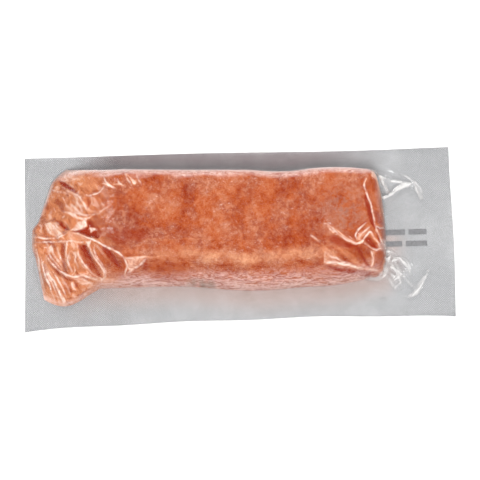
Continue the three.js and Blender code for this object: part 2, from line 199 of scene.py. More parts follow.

# Wider facets, as polygons, pale or in painted shade as above: the value at each corner, and then the
# corners.
panes = [
    ((0.4, 0.4, 0.3, 0.4, 0.3), (-87.1, -3.6), (-85.7, -3.9), (-83.8, -15.0), (-85.1, -15.7),
     (-86.9, -11.4)),
    ((0.3, 0.35, 0.35, 0.2, 0.1, 0.2, 0.35, 0.35, 0.3, 0.3), (-96.2, -1.3), (-91.6, -8.5), (-87.0, -16.3),
     (-81.4, -21.6), (-80.5, -23.3), (-81.6, -29.0), (-86.5, -31.3), (-91.2, -29.1), (-93.9, -20.8),
     (-96.5, -9.2)),
    ((0.2, 0.25, 0.3, 0.4, 0.35, 0.3, 0.15), (-74.2, 28.9), (-69.4, 27.9), (-66.1, 25.6), (-66.2, 21.6),
     (-69.6, 20.9), (-73.4, 22.4), (-75.7, 26.1)),
    ((0.6, 0.8, 0.75, 0.9, 0.7, 0.5, 0.4, 0.65), (-93.1, 9.3), (-89.7, 9.5), (-86.9, 6.4), (-84.1, 2.6),
     (-82.5, -1.7), (-85.1, -0.1), (-88.4, 1.6), (-90.8, 4.8)),
    ((0.7, 0.8, 0.8, 0.85, 1, 0.9, 0.6), (-76.5, 6.7), (-71.9, 7.0), (-71.5, 3.5), (-73.9, 2.8),
     (-76.9, 2.1), (-80.2, 2.7), (-77.8, 4.4)),
    ((0.8, 0.9, 0.95, 1, 0.9, 0.5, 0.7, 0.6, 0.7, 0.8), (-83.8, 13.4), (-80.4, 12.6), (-77.6, 11.1),
     (-75.7, 8.9), (-71.9, 8.0), (-68.0, 8.9), (-70.9, 6.9), (-74.8, 7.0), (-78.1, 8.8), (-81.0, 11.4)),
    ((1, 1, 1, 0.8, 0.8), (-70.8, 3.4), (-67.5, 2.1), (-68.2, 1.2), (-69.2, 1.0), (-70.0, 0.0)),
    ((0.45, 0.55, 0.65, 0.7, 0.35, 0.3, 0.5, 0.4), (-80.7, 2.5), (-75.9, 0.4), (-71.7, -1.9), (-67.6, -4.6),
     (-72.2, -3.4), (-77.0, -2.7), (-80.8, -3.0), (-82.0, -0.8)),
    ((0.55, 0.6, 0.5, 0.45, 0.55, 0.8, 0.5), (-54.4, -13.0), (-49.4, -13.9), (-43.9, -13.5), (-47.6, -16.3),
     (-50.5, -18.3), (-52.4, -18.3), (-52.9, -15.9)),
    ((1, 1, 1), (-72.7, -3.8), (-69.7, -4.2), (-71.0, -7.6)),
    ((0.6, 0.6, 0.5, 0.6, 0.9, 0.9, 0.5, 0.5), (-92.8, -10.2), (-90.9, -13.4), (-88.4, -18.4),
     (-86.0, -24.0), (-82.8, -29.3), (-84.3, -29.9), (-87.0, -25.6), (-90.0, -17.8)),
    ((0.3, 0.35, 0.3, 0.3, 0.3, 0.2, 0.25), (-95.0, -7.7), (-93.2, -12.0), (-91.0, -20.1), (-87.4, -28.7),
     (-89.8, -28.7), (-92.9, -20.5), (-94.7, -13.6)),
    ((0.2, 0.45, 0.55, 0.3, 0.5, 0.5), (-91.7, -28.6), (-87.4, -30.1), (-83.6, -30.3), (-81.6, -29.3),
     (-83.6, -31.8), (-88.0, -31.7)),
    ((0.4, 0.8, 0.6, 0.4, 0.5), (-88.5, 27.7), (-86.3, 28.2), (-85.1, 27.3), (-85.2, 25.2), (-87.3, 25.8)),
    ((0.5, 0.35, 0.3, 0.6), (-84.0, 24.5), (-81.1, 24.0), (-80.2, 22.2), (-82.6, 21.8)),
    ((0.5, 0.45, 0.8, 0.7, 0.6, 0.6), (-84.0, 35.6), (-82.3, 35.0), (-81.9, 31.0), (-80.0, 29.5),
     (-81.5, 28.9), (-83.3, 31.2)),
    ((0.25, 0.2, 0.3, 0.45, 0.3, 0.5), (-82.3, 35.8), (-73.2, 35.8), (-72.3, 29.5), (-75.2, 27.6),
     (-79.1, 27.1), (-80.0, 30.7)),
    ((0.45, 0.55, 0.55, 0.65, 0.45, 0.3, 0.35, 0.35), (-76.5, -18.0), (-73.6, -19.3), (-67.0, -20.8),
     (-62.1, -20.1), (-57.3, -20.6), (-62.2, -21.8), (-70.8, -21.2), (-74.6, -20.4)),
    ((0.8, 0.9, 0.6, 0.6, 0.6), (-80.2, -22.5), (-79.2, -21.7), (-78.1, -24.2), (-77.7, -25.4),
     (-79.6, -25.2)),
    ((0.7, 1, 0.9, 0.7, 0.8), (-91.0, -3.3), (-89.5, -2.4), (-88.6, -4.3), (-88.2, -6.3), (-90.6, -5.8)),
    ((0.6, 0.5, 0.5, 0.55, 0.6, 0.4, 0.3, 0.6), (55.7, -8.4), (56.0, -6.5), (58.0, -4.2), (60.4, -2.7),
     (62.3, -3.5), (60.3, -5.5), (58.4, -7.0), (57.4, -8.4)),
    ((0.45, 0.45, 0.6, 0.6, 0.4, 0.3), (61.3, -4.0), (63.7, -5.0), (66.0, -8.5), (67.4, -10.2),
     (65.0, -9.4), (62.7, -7.0)),
    ((0.2, 0.5, 0.4, 0.25, 0.4, 0.5, 0.6, 0.3), (39.6, -9.8), (41.9, -12.2), (44.3, -13.4), (47.1, -15.2),
     (49.4, -17.2), (44.6, -17.1), (40.0, -17.5), (39.9, -13.9)),
    ((0.85, 0.85, 0.9, 0.8, 0.75, 0.8, 0.5, 0.55, 0.6, 0.6, 0.4), (40.0, -17.2), (44.6, -17.3),
     (50.3, -17.7), (54.6, -18.5), (59.4, -19.1), (63.7, -19.2), (59.8, -19.4), (54.1, -19.3),
     (48.4, -18.9), (43.6, -18.6), (40.2, -18.2)),
    ((0.5, 0.5, 0.75, 0.85, 0.5), (62.7, -12.6), (64.4, -12.6), (63.9, -18.1), (62.7, -18.7),
     (62.5, -15.5)),
    ((0.15, 0.3, 0.25, 0.35, 0.25, 0.35, 0.25), (46.2, -11.3), (51.0, -12.8), (54.3, -15.0), (58.0, -18.2),
     (61.8, -19.0), (54.2, -17.7), (50.0, -15.1)),
    ((0.8, 0.8, 0.8, 0.6, 0.2, 0.5, 0.6, 0.7), (65.0, 31.8), (67.9, 30.7), (68.5, 26.2), (69.3, 20.2),
     (68.6, 13.1), (67.4, 18.7), (66.6, 22.6), (64.0, 23.8)),
    ((0.7, 0.8, 0.8, 0.9, 0.8, 0.6, 0.6), (51.6, -7.2), (54.0, -8.9), (55.9, -9.4), (58.8, -8.0),
     (59.8, -8.5), (55.9, -10.3), (53.5, -9.9)),
    ((0.7, 0.9, 0.8, 0.7), (43.8, -3.5), (46.0, -3.7), (45.5, -4.7), (44.3, -4.5)),
    ((0.8, 0.8, 0.8, 0.6, 0.7), (59.8, 19.2), (61.6, 22.9), (62.3, 22.6), (61.0, 20.2), (60.2, 18.7)),
    ((0.3, 0.45, 0.4, 0.2, 0.3, 0.4, 0.3), (66.8, 29.5), (69.6, 29.0), (71.0, 20.0), (71.2, 8.0),
     (69.6, 3.0), (68.4, 9.0), (68.9, 20.0)),
    ((-0.5, -0.8, -1, -1, -0.6, -0.6, -0.8, -0.6), (-86.2, 31.9), (-84.3, 30.0), (-82.0, 27.8),
     (-78.2, 24.1), (-74.5, 18.8), (-78.3, 22.0), (-82.0, 25.6), (-84.9, 28.5)),
    ((-0.4, -0.2, -0.3, -0.8, -1, -1, -0.9, -0.9, -0.8), (-71.7, 7.0), (-67.1, 4.8), (-64.4, -0.5),
     (-66.4, -3.3), (-71.2, -1.6), (-75.9, 1.1), (-79.3, 2.4), (-74.0, 2.6), (-71.3, 3.4)),
    ((-0.4, -0.35, -0.5, -1, -0.9, -0.8), (-88.2, 10.3), (-85.3, 9.5), (-82.5, 7.2), (-80.2, 3.1),
     (-82.6, 3.8), (-85.4, 7.1)),
    ((-0.3, -0.8, -0.85, -0.6, -0.5, -0.6, -0.2, -0.4, -0.3), (-76.5, -4.3), (-72.2, -5.2), (-70.9, -9.6),
     (-68.9, -14.3), (-66.8, -17.5), (-65.3, -20.1), (-68.3, -19.1), (-72.5, -15.5), (-74.8, -11.0)),
    ((-0.8, -0.9, -0.8, -0.4, -0.5, -0.5, -0.5), (-64.6, -6.5), (-60.8, -10.0), (-57.6, -14.2),
     (-54.4, -18.2), (-57.7, -16.7), (-61.4, -13.5), (-64.2, -9.6)),
    ((-0.3, -0.8, -0.8, -0.8, -0.7, -0.3, -0.3, -0.5), (-93.0, -7.2), (-89.8, -11.8), (-86.0, -16.5),
     (-81.3, -20.3), (-76.6, -22.2), (-81.4, -21.4), (-86.1, -17.9), (-89.8, -13.2)),
    ((-0.15, -0.35, -0.25, -0.2, -0.15), (-84.2, -20.7), (-79.9, -22.1), (-79.6, -25.2), (-82.1, -28.3),
     (-83.4, -25.1)),
    ((-0.5, -0.6, -0.3, -0.3, -0.4), (-84.7, -2.7), (-82.8, -3.1), (-82.6, -12.4), (-83.6, -14.6),
     (-84.9, -8.9)),
    ((-0.5, -0.3, -0.6, -0.3), (-98.6, 0.8), (-92.8, -0.2), (-86.6, -1.8), (-92.9, -1.4)),
    ((-0.6, -0.5, -0.4, -0.7), (-78.5, -22.0), (-76.6, -22.5), (-76.7, -24.2), (-77.9, -24.2)),
    ((-0.5, -0.7, -1, -1, -0.8, -0.8, -0.5, -0.5, -0.4), (60.4, 15.2), (61.6, 13.6), (63.1, 7.6),
     (64.5, 1.5), (64.9, -3.0), (63.8, -1.5), (62.2, 1.5), (61.2, 7.6), (60.3, 11.6)),
    ((-0.25, -0.5, -0.6, -0.9, -0.8, -0.6, -0.3, -0.3, -0.3), (42.1, -5.9), (45.4, -5.5), (48.7, -7.7),
     (52.0, -10.1), (56.3, -10.5), (59.0, -9.2), (54.4, -12.0), (48.6, -11.3), (43.9, -8.9)),
    ((-0.5, -0.7, -0.8, -0.7, -0.7, -0.5, -0.5), (54.9, -11.2), (57.3, -11.5), (59.1, -14.9), (61.4, -17.5),
     (62.7, -19.0), (60.4, -17.9), (57.6, -14.9)),
    ((-0.7, -0.6, -0.7, -0.9, -0.6, -0.7), (59.8, -8.5), (61.3, -6.5), (63.1, -8.5), (66.1, -12.4),
     (63.5, -11.9), (61.2, -9.8)),
    ((-0.5, -0.8, -0.8, -0.7, -0.6, -0.7, -0.7), (53.8, -6.5), (56.6, -2.2), (59.5, 0.5), (62.0, 1.8),
     (59.7, -0.5), (57.0, -3.0), (54.8, -6.0)),
    ((-0.6, -0.6, -0.7, -0.6), (65.2, -4.0), (66.8, -6.4), (67.7, -9.0), (66.3, -8.0)),
    ((-0.7, -0.8, -0.7, -0.8, -0.6, -0.5, -0.5, -0.45, -0.6), (41.7, -19.0), (47.4, -19.6), (53.1, -19.8),
     (59.8, -19.8), (63.2, -19.8), (62.1, -21.1), (55.4, -21.1), (48.8, -20.9), (44.0, -20.0)),
    ((-0.3, -0.5, -0.55, -0.5, -0.3), (63.8, 7.0), (66.6, 6.4), (69.4, 0.6), (66.4, 0.2), (64.8, 0.6)),
    ((-0.7, -0.6, -0.4, -0.6), (65.0, -1.8), (67.1, -1.6), (69.5, -1.5), (66.6, -2.9)),
]

# Pale facets of the loose film round the fish, painted on the film itself: whiteness of the crumpled film
# and painted sheen, first as strokes, and then as polygons.
looseFacets = [
    (0.6, (0.57, 1.6, 1.1, 0.43), (67.4, 27.8), (69.7, 25.6), (71.3, 22.9), (72.9, 20.7)),
    (0.6, (0.36, 0.57, 0.43, 0.36), (68.4, 28), (71.7, 27), (75.4, 25.9), (83.6, 25.7)),
    (0.65, (0.43, 0.8, 0.93, 0.72, 0.36), (78.4, 30.1), (81.3, 29.5), (85.1, 26.6), (88.3, 23.5),
     (89.7, 20)),
    (0.5, (0.57, 1.29, 1.16, 0.43), (85, 25.3), (86.4, 22.2), (87.7, 19.7), (89.1, 17.2)),
    (0.9, (0.36, 0.72, 0.87, 1.01, 0.36), (70, 16.8), (73.8, 19.1), (78.2, 22.1), (81.6, 24.1),
     (84.1, 25.2)),
    (0.35, (0.57, 1.29, 0.57), (76.3, 21.1), (79.7, 23.2), (83.1, 24.2)),
    (0.9, (0.29, 0.65, 0.72, 0.57, 0.29), (73.4, -12.7), (76.3, -11.9), (78.2, -13.9), (80, -16.7),
     (81.9, -19.5)),
    (0.4, (0.29, 0.43, 0.29), (77.8, -11.7), (80.6, -14.7), (82.9, -18)),
    (0.7, (0.29, 0.57, 0.29), (71.4, -19.3), (73.7, -20.9), (76.5, -22.6)),
    (0.6, (0.43, 1.16, 0.57), (74.3, -18.1), (76.1, -19.4), (76.6, -21.1)),
    (0.65, (0.36, 0.8, 0.8, 0.36), (70.3, -21), (72.6, -24.4), (75.5, -25.9), (76.9, -28)),
    (0.75, (0.29, 0.72, 0.36), (79, -21.4), (80.8, -24.3), (83.1, -26.7)),
    (0.5, (0.43, 1.72, 2.31, 1.59, 0.57), (90, -20.1), (87.5, -23.3), (85.1, -26.7), (83.1, -29.6),
     (79.7, -31)),
    (0.6, (0.36, 0.87, 0.36), (89.4, -17.9), (90.1, -18.4), (90.8, -19)),
    (0.3, (1.44, 3.24, 2.16), (66.8, -10.8), (70.6, -10.9), (74, -10.9)),
    (0.4, (0.29, 0.57, 0.36), (81.8, -22.9), (83.2, -25), (84.6, -27)),
    (0.5, (0.36, 1.01, 0.43), (-92.9, 18.1), (-91, 23.5), (-88.7, 28.5)),
    (0.4, (0.2, 0.55, 0.3), (-89.8, 27.6), (-87.4, 31.6), (-84.4, 35.4)),
    (0.22, (0.15, 0.4, 0.2), (-99.6, 6.0), (-100.2, 1.0), (-98.9, -5.5)),
    (0.26, (0.15, 0.4, 0.45, 0.2), (-98.6, -8.0), (-96.4, -18.5), (-94.0, -26.5), (-91.0, -30.8)),
    (0.22, (0.2, 0.5, 0.2), (-89.8, -31.6), (-85.6, -32.8), (-80.0, -31.8)),
    (0.7, (0.2, 0.45, 0.7, 0.3), (70.1, -12.8), (74.1, -17.6), (76.6, -22.7), (77.3, -26.3)),
    (0.55, (0.15, 0.35, 0.35, 0.15), (75.8, -11.4), (79.4, -15.4), (81.6, -20.2), (82.9, -24.9)),
    (0.5, (0.15, 0.3, 0.15), (77.3, -10.8), (81.0, -14.3), (82.7, -19.0)),
    (0.6, (0.2, 0.5, 0.3), (80.5, -31.8), (83.5, -30.4), (85.9, -27.3)),
    (0.6, (0.2, 0.4, 0.3, 0.15), (72.5, -8.2), (71.1, -12.1), (73.4, -15.6), (74.1, -17.6)),
    (0.5, (0.2, 0.4, 0.2), (69.1, -8.1), (72.9, -9.4), (74.6, -12.9)),
    (0.5, (0.2, 0.3, 0.15), (66.6, -31.0), (68.1, -31.6), (70.0, -31.4)),
    (0.6, (0.15, 0.3, 0.3, 0.2), (67.9, 30.6), (72.3, 27.7), (78.3, 25.6), (84.7, 25.2)),
    (0.4, (0.15, 0.25, 0.15), (78.4, 29.9), (82.9, 28.6), (86.6, 25.7)),
    (0.6, (0.2, 0.5, 0.3), (69.5, 26.2), (71.1, 22.7), (72.1, 19.8)),
    (0.25, (0.1, 0.25, 0.1), (92.8, 19.7), (94.3, 19.9), (95.8, 20.0)),
    (0.3, (0.15, 0.4, 0.15), (72.8, -26.9), (75.4, -27.8), (77.6, -27.1)),
    (0.6, (0.5, 1.5, 2.1, 1.6, 0.6), (60.5, -21.6), (66.0, -21.8), (69.4, -19.6), (70.8, -15.8),
     (71.0, -12.0)),
    (0.22, (0.2, 0.4, 0.2), (-14.5, 39.7), (-4.0, 39.9), (11.5, 39.8)),
    (0.16, (0.2, 0.4, 0.2), (-13.5, 38.1), (0.9, 38.0), (17.7, 38.1)),
    (0.14, (0.2, 0.5, 0.2), (-40.0, 39.0), (-28.0, 39.3), (-18.0, 39.0)),
]

loosePanes = [
    ((0.2, 0.2, 0.5, 0.3, 0.25, 0.3, 0.3, 0.6, 0.2, 0.3), (83.7, -24.1), (85.6, -23.2), (90.1, -19.3),
     (89.0, -22.8), (87.5, -25.8), (86.0, -28.7), (83.0, -31.1), (80.1, -32.3), (82.1, -29.1),
     (84.1, -26.7)),
    ((0.5, 0.5, 0.3, 0.3, 0.4, 0.3, 0.35), (85.0, 26.4), (86.9, 25.3), (88.8, 22.3), (89.8, 17.5),
     (87.7, 16.8), (86.3, 20.3), (84.7, 24.4)),
    ((0.35, 0.5, 0.3, 0.15), (77.3, 22.7), (84.1, 25.8), (79.8, 26.1), (77.8, 25.2)),
    ((0.3, 0.5, 0.4, 0.2, 0.3, 0.3), (66.9, -7.9), (70.2, -6.7), (73.6, -8.1), (72.5, -12.0), (69.6, -13.0),
     (67.3, -10.9)),
    ((0.2, 0.25, 0.2, 0.25, 0.8, 0.35), (70.5, -15.7), (73.4, -14.3), (76.7, -14.9), (77.6, -19.9),
     (75.2, -19.8), (72.3, -18.7)),
]

# Broad patches of the flesh: where each is, how far it reaches each way, and how light or dark.
stains = [
    (-24, 15, 3.5, 13, -0.7),
    (4, 16, 7, 5, -0.5),
    (30, -7, 10, 5, -0.6),
    (-58, 1, 15, 10, -0.8),
    (22, 18, 6, 6, -0.5),
    (-35, -2, 15, 4, -0.5),
    (-62, 20, 10, 6, -0.3),
    (-35, 11, 9, 9, 0.5),
    (-10, 13, 8, 11, 0.45),
    (11, 5, 9, 6, 0.35),
    (39, 21, 10, 6, 0.4),
    (54, 19, 7, 6, 0.3),
]

# The film is stretched over a plan grid: a taut skin that crests hold up, and that falls back between them.
plan = {
    "cell": 0.3,
    "columns": 695,
    "rows": 303,
    "rounds": 130,
    "overshoot": 1.7,  # how far each round moves the skin towards rest, where 1 would just reach it
    "hold": 2.6,  # how far a crest on the fish lifts the film round it
    "looseHold": 5.0,  # and one in the loose film
    "fineHold": 1.1,  # and a fine crease
}

# Fine creases in the film, scattered round a place: their heading in degrees, and lowest and highest crest.
creasePatches = [
    {"at": (-78, 20), "spread": (9, 7), "heading": -42, "count": 22, "height": (0.25, 0.7)},
    {"at": (-80, 4), "spread": (11, 4), "heading": -12, "count": 18, "height": (0.25, 0.8)},
    {"at": (-83, -13), "spread": (9, 9), "heading": -72, "count": 30, "height": (0.25, 0.8)},
    {"at": (-59, -11), "spread": (8, 8), "heading": -58, "count": 20, "height": (0.2, 0.7)},
    {"at": (-54, 25), "spread": (8, 4), "heading": -60, "count": 12, "height": (0.2, 0.5)},
    {"at": (52, -11), "spread": (10, 7), "heading": -30, "count": 18, "height": (0.15, 0.4)},
    {"at": (30, -22), "spread": (40, 3), "heading": -4, "count": 24, "height": (0.15, 0.4)},
    {"at": (-40, -22), "spread": (30, 3), "heading": 3, "count": 18, "height": (0.15, 0.4)},
    {"at": (77, 24), "spread": (8, 6), "heading": 10, "count": 12, "height": (0.1, 0.3)},
    {"at": (79, -17), "spread": (8, 9), "heading": -55, "count": 22, "height": (0.1, 0.4)},
]
crease = {
    "length": (3, 10),
    "scatter": 0.55,  # off the place, as a share of the spread
    "turn": 22,  # degrees off the heading
    "bow": 0.12,  # how far its middle is off a straight line, as a share of its length
    "seed": 5,
}


def mix(a, b, t):
    return a + (b - a) * t


def clamp01(t):
    return np.clip(t, 0, 1)


def ease(start, end, v):
    t = clamp01((v - start) / (end - start))
    return t * t * (3 - 2 * t)


def fade(start, end, v, share=1):
    # 1 up to the start, and less by that share from the end on
    return 1 - share * ease(start, end, v)


def bump(v, centre, reach):
    return np.maximum(0, 1 - ((v - centre) / reach) ** 2) ** 2


def softMin(a, b, k):
    h = np.maximum(k - np.abs(a - b), 0) / k
    return np.minimum(a, b) - h * h * k / 4


def softMax(a, b, k):
    return -softMin(-a, -b, k)


def softNoise(x, y, size, seed):
    # smooth noise from -1 to 1, with features of about that size
    table = np.random.default_rng(seed).uniform(-1, 1, (64, 64))
    turn = seed * 1.3
    u = (x * math.cos(turn) - y * math.sin(turn)) / size + 500
    v = (x * math.sin(turn) + y * math.cos(turn)) / size + 500
    i = np.floor(u).astype(int)
    j = np.floor(v).astype(int)
    a = ease(0, 1, u - i)
    b = ease(0, 1, v - j)
    low = mix(table[i % 64, j % 64], table[(i + 1) % 64, j % 64], a)
    high = mix(table[i % 64, (j + 1) % 64], table[(i + 1) % 64, (j + 1) % 64], a)
    return mix(low, high, b)


# The edges of the pack, by the share of the way along or across it, nearly straight.
def leftEdge(t):
    return mix(pack["left"]["near"][0], pack["left"]["far"][0], t) + 0.3 * bump(t, 0.5, 0.5)


def rightEdge(t):
    return mix(pack["right"]["near"][0], pack["right"]["far"][0], t) + 0.7 * bump(t, 0.4, 0.5)


def farEdge(s):
    return mix(pack["left"]["far"][1], pack["right"]["far"][1], s) + 0.35 * np.sin(9 * s - 1.6)


def nearEdge(s):
    drawn = pack["pullIn"] * (1 - (2 * s - 1) ** 4)
    return mix(pack["left"]["near"][1], pack["right"]["near"][1], s) + drawn + 0.3 * np.sin(21 * s)


# The foot of the fish on the base web.
def fishNear(x):
    belly = 3.2 * bump(x, 10, 42) + 1.6 * bump(x, 48, 22)
    flap = 8.2 * bump(x, -84, 19)
    return -22.6 - belly - flap + 2.4 * ease(40, 70, x)


def fishFar(x):
    corner = 3.2 * (1 - ease(-88, -60, x))
    return 34.5 - 0.033 * (x + 77) + 1.8 * bump(x, 50, 26) - 0.8 * bump(x, 20, 17) + corner


def fishLeft(y):
    above = 2.6 * ease(6, 12, y) + 0.33 * np.maximum(0, y - 9) + 0.07 * np.maximum(0, y - 29) ** 2
    below = 1.5 * ease(-1, -7, y) + 0.19 * np.maximum(0, -5 - y)
    return -99.2 + above + below


def fishRight(y):
    return 70.8 - 0.0035 * (y + 2.4) ** 2 - 0.02 * np.maximum(0, -12 - y) ** 2


def insets(x, y):
    # distances inside each side of the fish, negative outside it
    return {
        "near": y - fishNear(x),
        "far": fishFar(x) - y,
        "left": 0.93 * (x - fishLeft(y)),  # less, as that side runs aslant
        "right": fishRight(y) - x,
    }


def climb(inset, side):
    left = 1 - clamp01(inset / shoulder[side]["width"])
    return (1 - left ** shoulder[side]["power"]) ** (1 / shoulder[side]["power"])


def fishHeight(x, y):
    thin = mix(fish["leftHeight"], fish["height"], ease(fish["thinFrom"], fish["thinTo"], x))
    rolling = 0.45 * np.sin(x / 15 + 0.6) + 0.35 * np.sin(y / 7 + x / 31)
    return thin - fish["rightDrop"] * ease(35, 72, x) + rolling * ease(-80, -40, x)


def scatterCreases():
    rng = np.random.default_rng(crease["seed"])
    made = []
    for patch in creasePatches:
        for _ in range(patch["count"]):
            middle = np.array(patch["at"]) + rng.normal(0, crease["scatter"], 2) * patch["spread"]
            heading = math.radians(patch["heading"] + rng.normal(0, crease["turn"]))
            half = 0.5 * rng.uniform(*crease["length"]) * np.array([math.cos(heading), math.sin(heading)])
            bow = rng.normal(0, crease["bow"]) * 2 * np.array([-half[1], half[0]])
            height = rng.uniform(*patch["height"])
            made.append(((0, height, 0), middle - half, middle + bow, middle + half))
    return made


# How a crest or facet runs between the places it passes.
course = {
    "step": 0.15,
    "fewest": 12,  # points, on a short one
    "rounding": 13,  # points over which a corner is rounded
    "sway": 0.4,
    "swayLength": 3.5,
    "unevenLength": 2.5,
}


def thread(heights, places):
    # a crest as closely spaced points, its corners rounded and its run a little uneven
    places = np.array(places)
    passed = np.concatenate([[0], np.cumsum(np.hypot(*np.diff(places, axis=0).T))])
    along = np.linspace(0, passed[-1], max(course["fewest"], int(passed[-1] / course["step"])))
    weights = np.hanning(course["rounding"]) / np.hanning(course["rounding"]).sum()
    margin = course["rounding"] // 2
    line = [np.interp(along, passed, places[:, k]) for k in (0, 1)]
    line = [np.convolve(np.pad(v, margin, "reflect", reflect_type="odd"), weights, "valid") for v in line]
    x = line[0] + course["sway"] * softNoise(line[0], line[1], course["swayLength"], 1)
    y = line[1] + course["sway"] * softNoise(line[0], line[1], course["swayLength"], 2)
    height = np.interp(np.linspace(0, 1, len(along)), np.linspace(0, 1, len(heights)), heights)
    return x, y, height * (0.9 + 0.3 * softNoise(x, y, course["unevenLength"], 3))


def cellsOf(x, y):
    column = x / plan["cell"] + (plan["columns"] - 1) / 2
    row = y / plan["cell"] + (plan["rows"] - 1) / 2
    return np.clip(column, 0, plan["columns"] - 1.001), np.clip(row, 0, plan["rows"] - 1.001)


def readPlan(values, x, y):
    column, row = cellsOf(x, y)
    i = np.floor(column).astype(int)
    j = np.floor(row).astype(int)
    low = mix(values[j, i], values[j, i + 1], column - i)
    high = mix(values[j + 1, i], values[j + 1, i + 1], column - i)
    return mix(low, high, row - j)


def neighbours(ring):
    # the four cells round each cell of a grid that has one more ring of cells than is asked for
    return ring[2:, 1:-1] + ring[:-2, 1:-1] + ring[1:-1, 2:] + ring[1:-1, :-2]


def stretch(table, hold, ground=None):
    # how far the crests lift the film, over the ground that it lies on
    held = np.full((plan["rows"], plan["columns"]), np.nan)
    for heights, *places in table:
        x, y, height = thread(heights, places)
        if ground is not None:
            height = np.maximum(0, height - readPlan(ground, x, y))
        column, row = (np.round(v).astype(int) for v in cellsOf(x, y))
        np.fmax.at(held, (row, column), height)
    free = np.isnan(held)
    skin = np.where(free, 0, held)
    pull = (plan["cell"] / hold) ** 2
    turn = np.add.outer(np.arange(plan["rows"]), np.arange(plan["columns"])) % 2
    for n in range(2 * plan["rounds"]):
        short = neighbours(np.pad(skin, 1)) / (4 + pull) - skin
        skin += np.where(free & (turn == n % 2), plan["overshoot"] * short, 0)
    return skin


brush = {"least": 0.12, "darkWider": 1.3, "solid": 0.5}  # half width, and the share of it that is solid


def paint(table):
    # the facets of a table on the plan grid, as the pale ones and the dark ones of painted shade
    layers = np.zeros((2, plan["rows"], plan["columns"]))
    for value, widths, *places in table:
        x, y, width = thread(widths, places)
        width *= brush["darkWider"] if value < 0 else 1
        column, row = cellsOf(x, y)
        edge = max(width) / plan["cell"] + 1
        ends = (int(max(0, min(column) - edge)), int(min(plan["columns"], max(column) + edge + 1)))
        sides = (int(max(0, min(row) - edge)), int(min(plan["rows"], max(row) + edge + 1)))
        across, up = np.arange(*ends), np.arange(*sides)
        gap = np.hypot(up[:, None, None] - row, across[None, :, None] - column) * plan["cell"]
        nearest = np.min(gap / np.maximum(width, brush["least"]), axis=2)
        layer = layers[int(value < 0)]
        part = np.ix_(up, across)
        layer[part] = np.maximum(layer[part], abs(value) * ease(1, brush["solid"], nearest))
    return layers


def fill(table, layers):
    # the polygons of a table, over what is painted already
    for values, *corners in table:
        column, row = cellsOf(*np.array(corners).T)
        across = np.arange(int(min(column)), int(max(column)) + 2)
        up = np.arange(int(min(row)), int(max(row)) + 2)
        x, y = np.meshgrid(across, up)
        inside = np.zeros(x.shape, bool)
        shade = weight = 0
        for k, value in enumerate(values):
            crosses = (row[k - 1] > y) != (row[k] > y)
            slope = (column[k] - column[k - 1]) / (row[k] - row[k - 1] or 1)
            inside ^= crosses & (x < column[k - 1] + (y - row[k - 1]) * slope)
            near = 1 / (np.hypot(x - column[k], y - row[k]) + 1) ** 2
            shade = shade + near * abs(value)
            weight = weight + near
        layer = layers[int(values[0] < 0)]
        part = np.ix_(up, across)
        layer[part] = np.maximum(layer[part], np.where(inside, shade / weight, 0))
    return layers


def soften(values, times):
    for _ in range(times):
        values = 0.2 * (values + neighbours(np.pad(values, 1, "edge")))
    return values


def shares(x, y):
    left = pack["left"]["near"][0]
    s = clamp01((x - left) / (pack["right"]["near"][0] - left))
    return s, clamp01((y - nearEdge(s)) / (farEdge(s) - nearEdge(s)))


def edgeDistance(x, y):
    s, t = shares(x, y)
    ends = softMin(x - leftEdge(t), rightEdge(t) - x, 4)
    sides = softMin(y - nearEdge(s), farEdge(s) - y, 4)
    return softMin(ends, sides, 4)


def bandLift(x, y):
    curl = clamp01(1 - edgeDistance(x, y) / pack["seal"])
    uneven = 1 + 0.45 * np.sin(x / 19 + 0.8) + 0.35 * np.cos(y / 13 + 0.4)
    return pack["lift"] * curl * curl * uneven


def bareShape(x, y):
    # the fish, and the film over it and round its foot, before any crest lifts the film
    inset = insets(x, y)
    sides = climb(inset["near"], "near") * climb(inset["far"], "far")
    ends = climb(inset["left"], "left") * climb(inset["right"], "right")
    share = sides * ends
    flakes = 0.2 * softNoise(x * 0.09, y, 1.3, 11) + 0.16 * softNoise(x * 0.2, y, 2.6, 13)
    flakes = flakes * fade(6, 11, inset["near"]) * ease(-70, -55, x)
    ripple = 0.16 * softNoise(x, y, 3.1, 4) + 0.08 * softNoise(x, y, 1.4, 6) + flakes
    ripple = ripple - readPlan(painted["hollow"], x, y)
    body = fishHeight(x, y) * share + ripple * np.minimum(1, 2.5 * share)
    nearest = [softMin(inset[one], inset[other], 4) for one, other in (("near", "far"), ("left", "right"))]
    outside = -softMin(*nearest, 6)
    nearSide = bump(x, -5, 75) * ease(0, -12, y)
    reach = mix(skirt["other"], skirt["near"], nearSide)
    tall = mix(0.3, 1, nearSide) * skirt["height"]
    slope = tall * (0.6 + 0.4 * softNoise(x, y, 7, 12)) * (1 - clamp01(outside / reach)) ** 2
    ground = softMax(body, slope, 1.2)
    return {"body": body, "ground": ground, "share": share, "inset": inset, "outside": outside}


# Painted highlights along the crests: half widths from end to end.
glint = {"widths": (0.12, 0.42, 0.36, 0.12), "looseWidths": (0.12, 0.3, 0.12), "loose": 0.8, "most": 0.9}


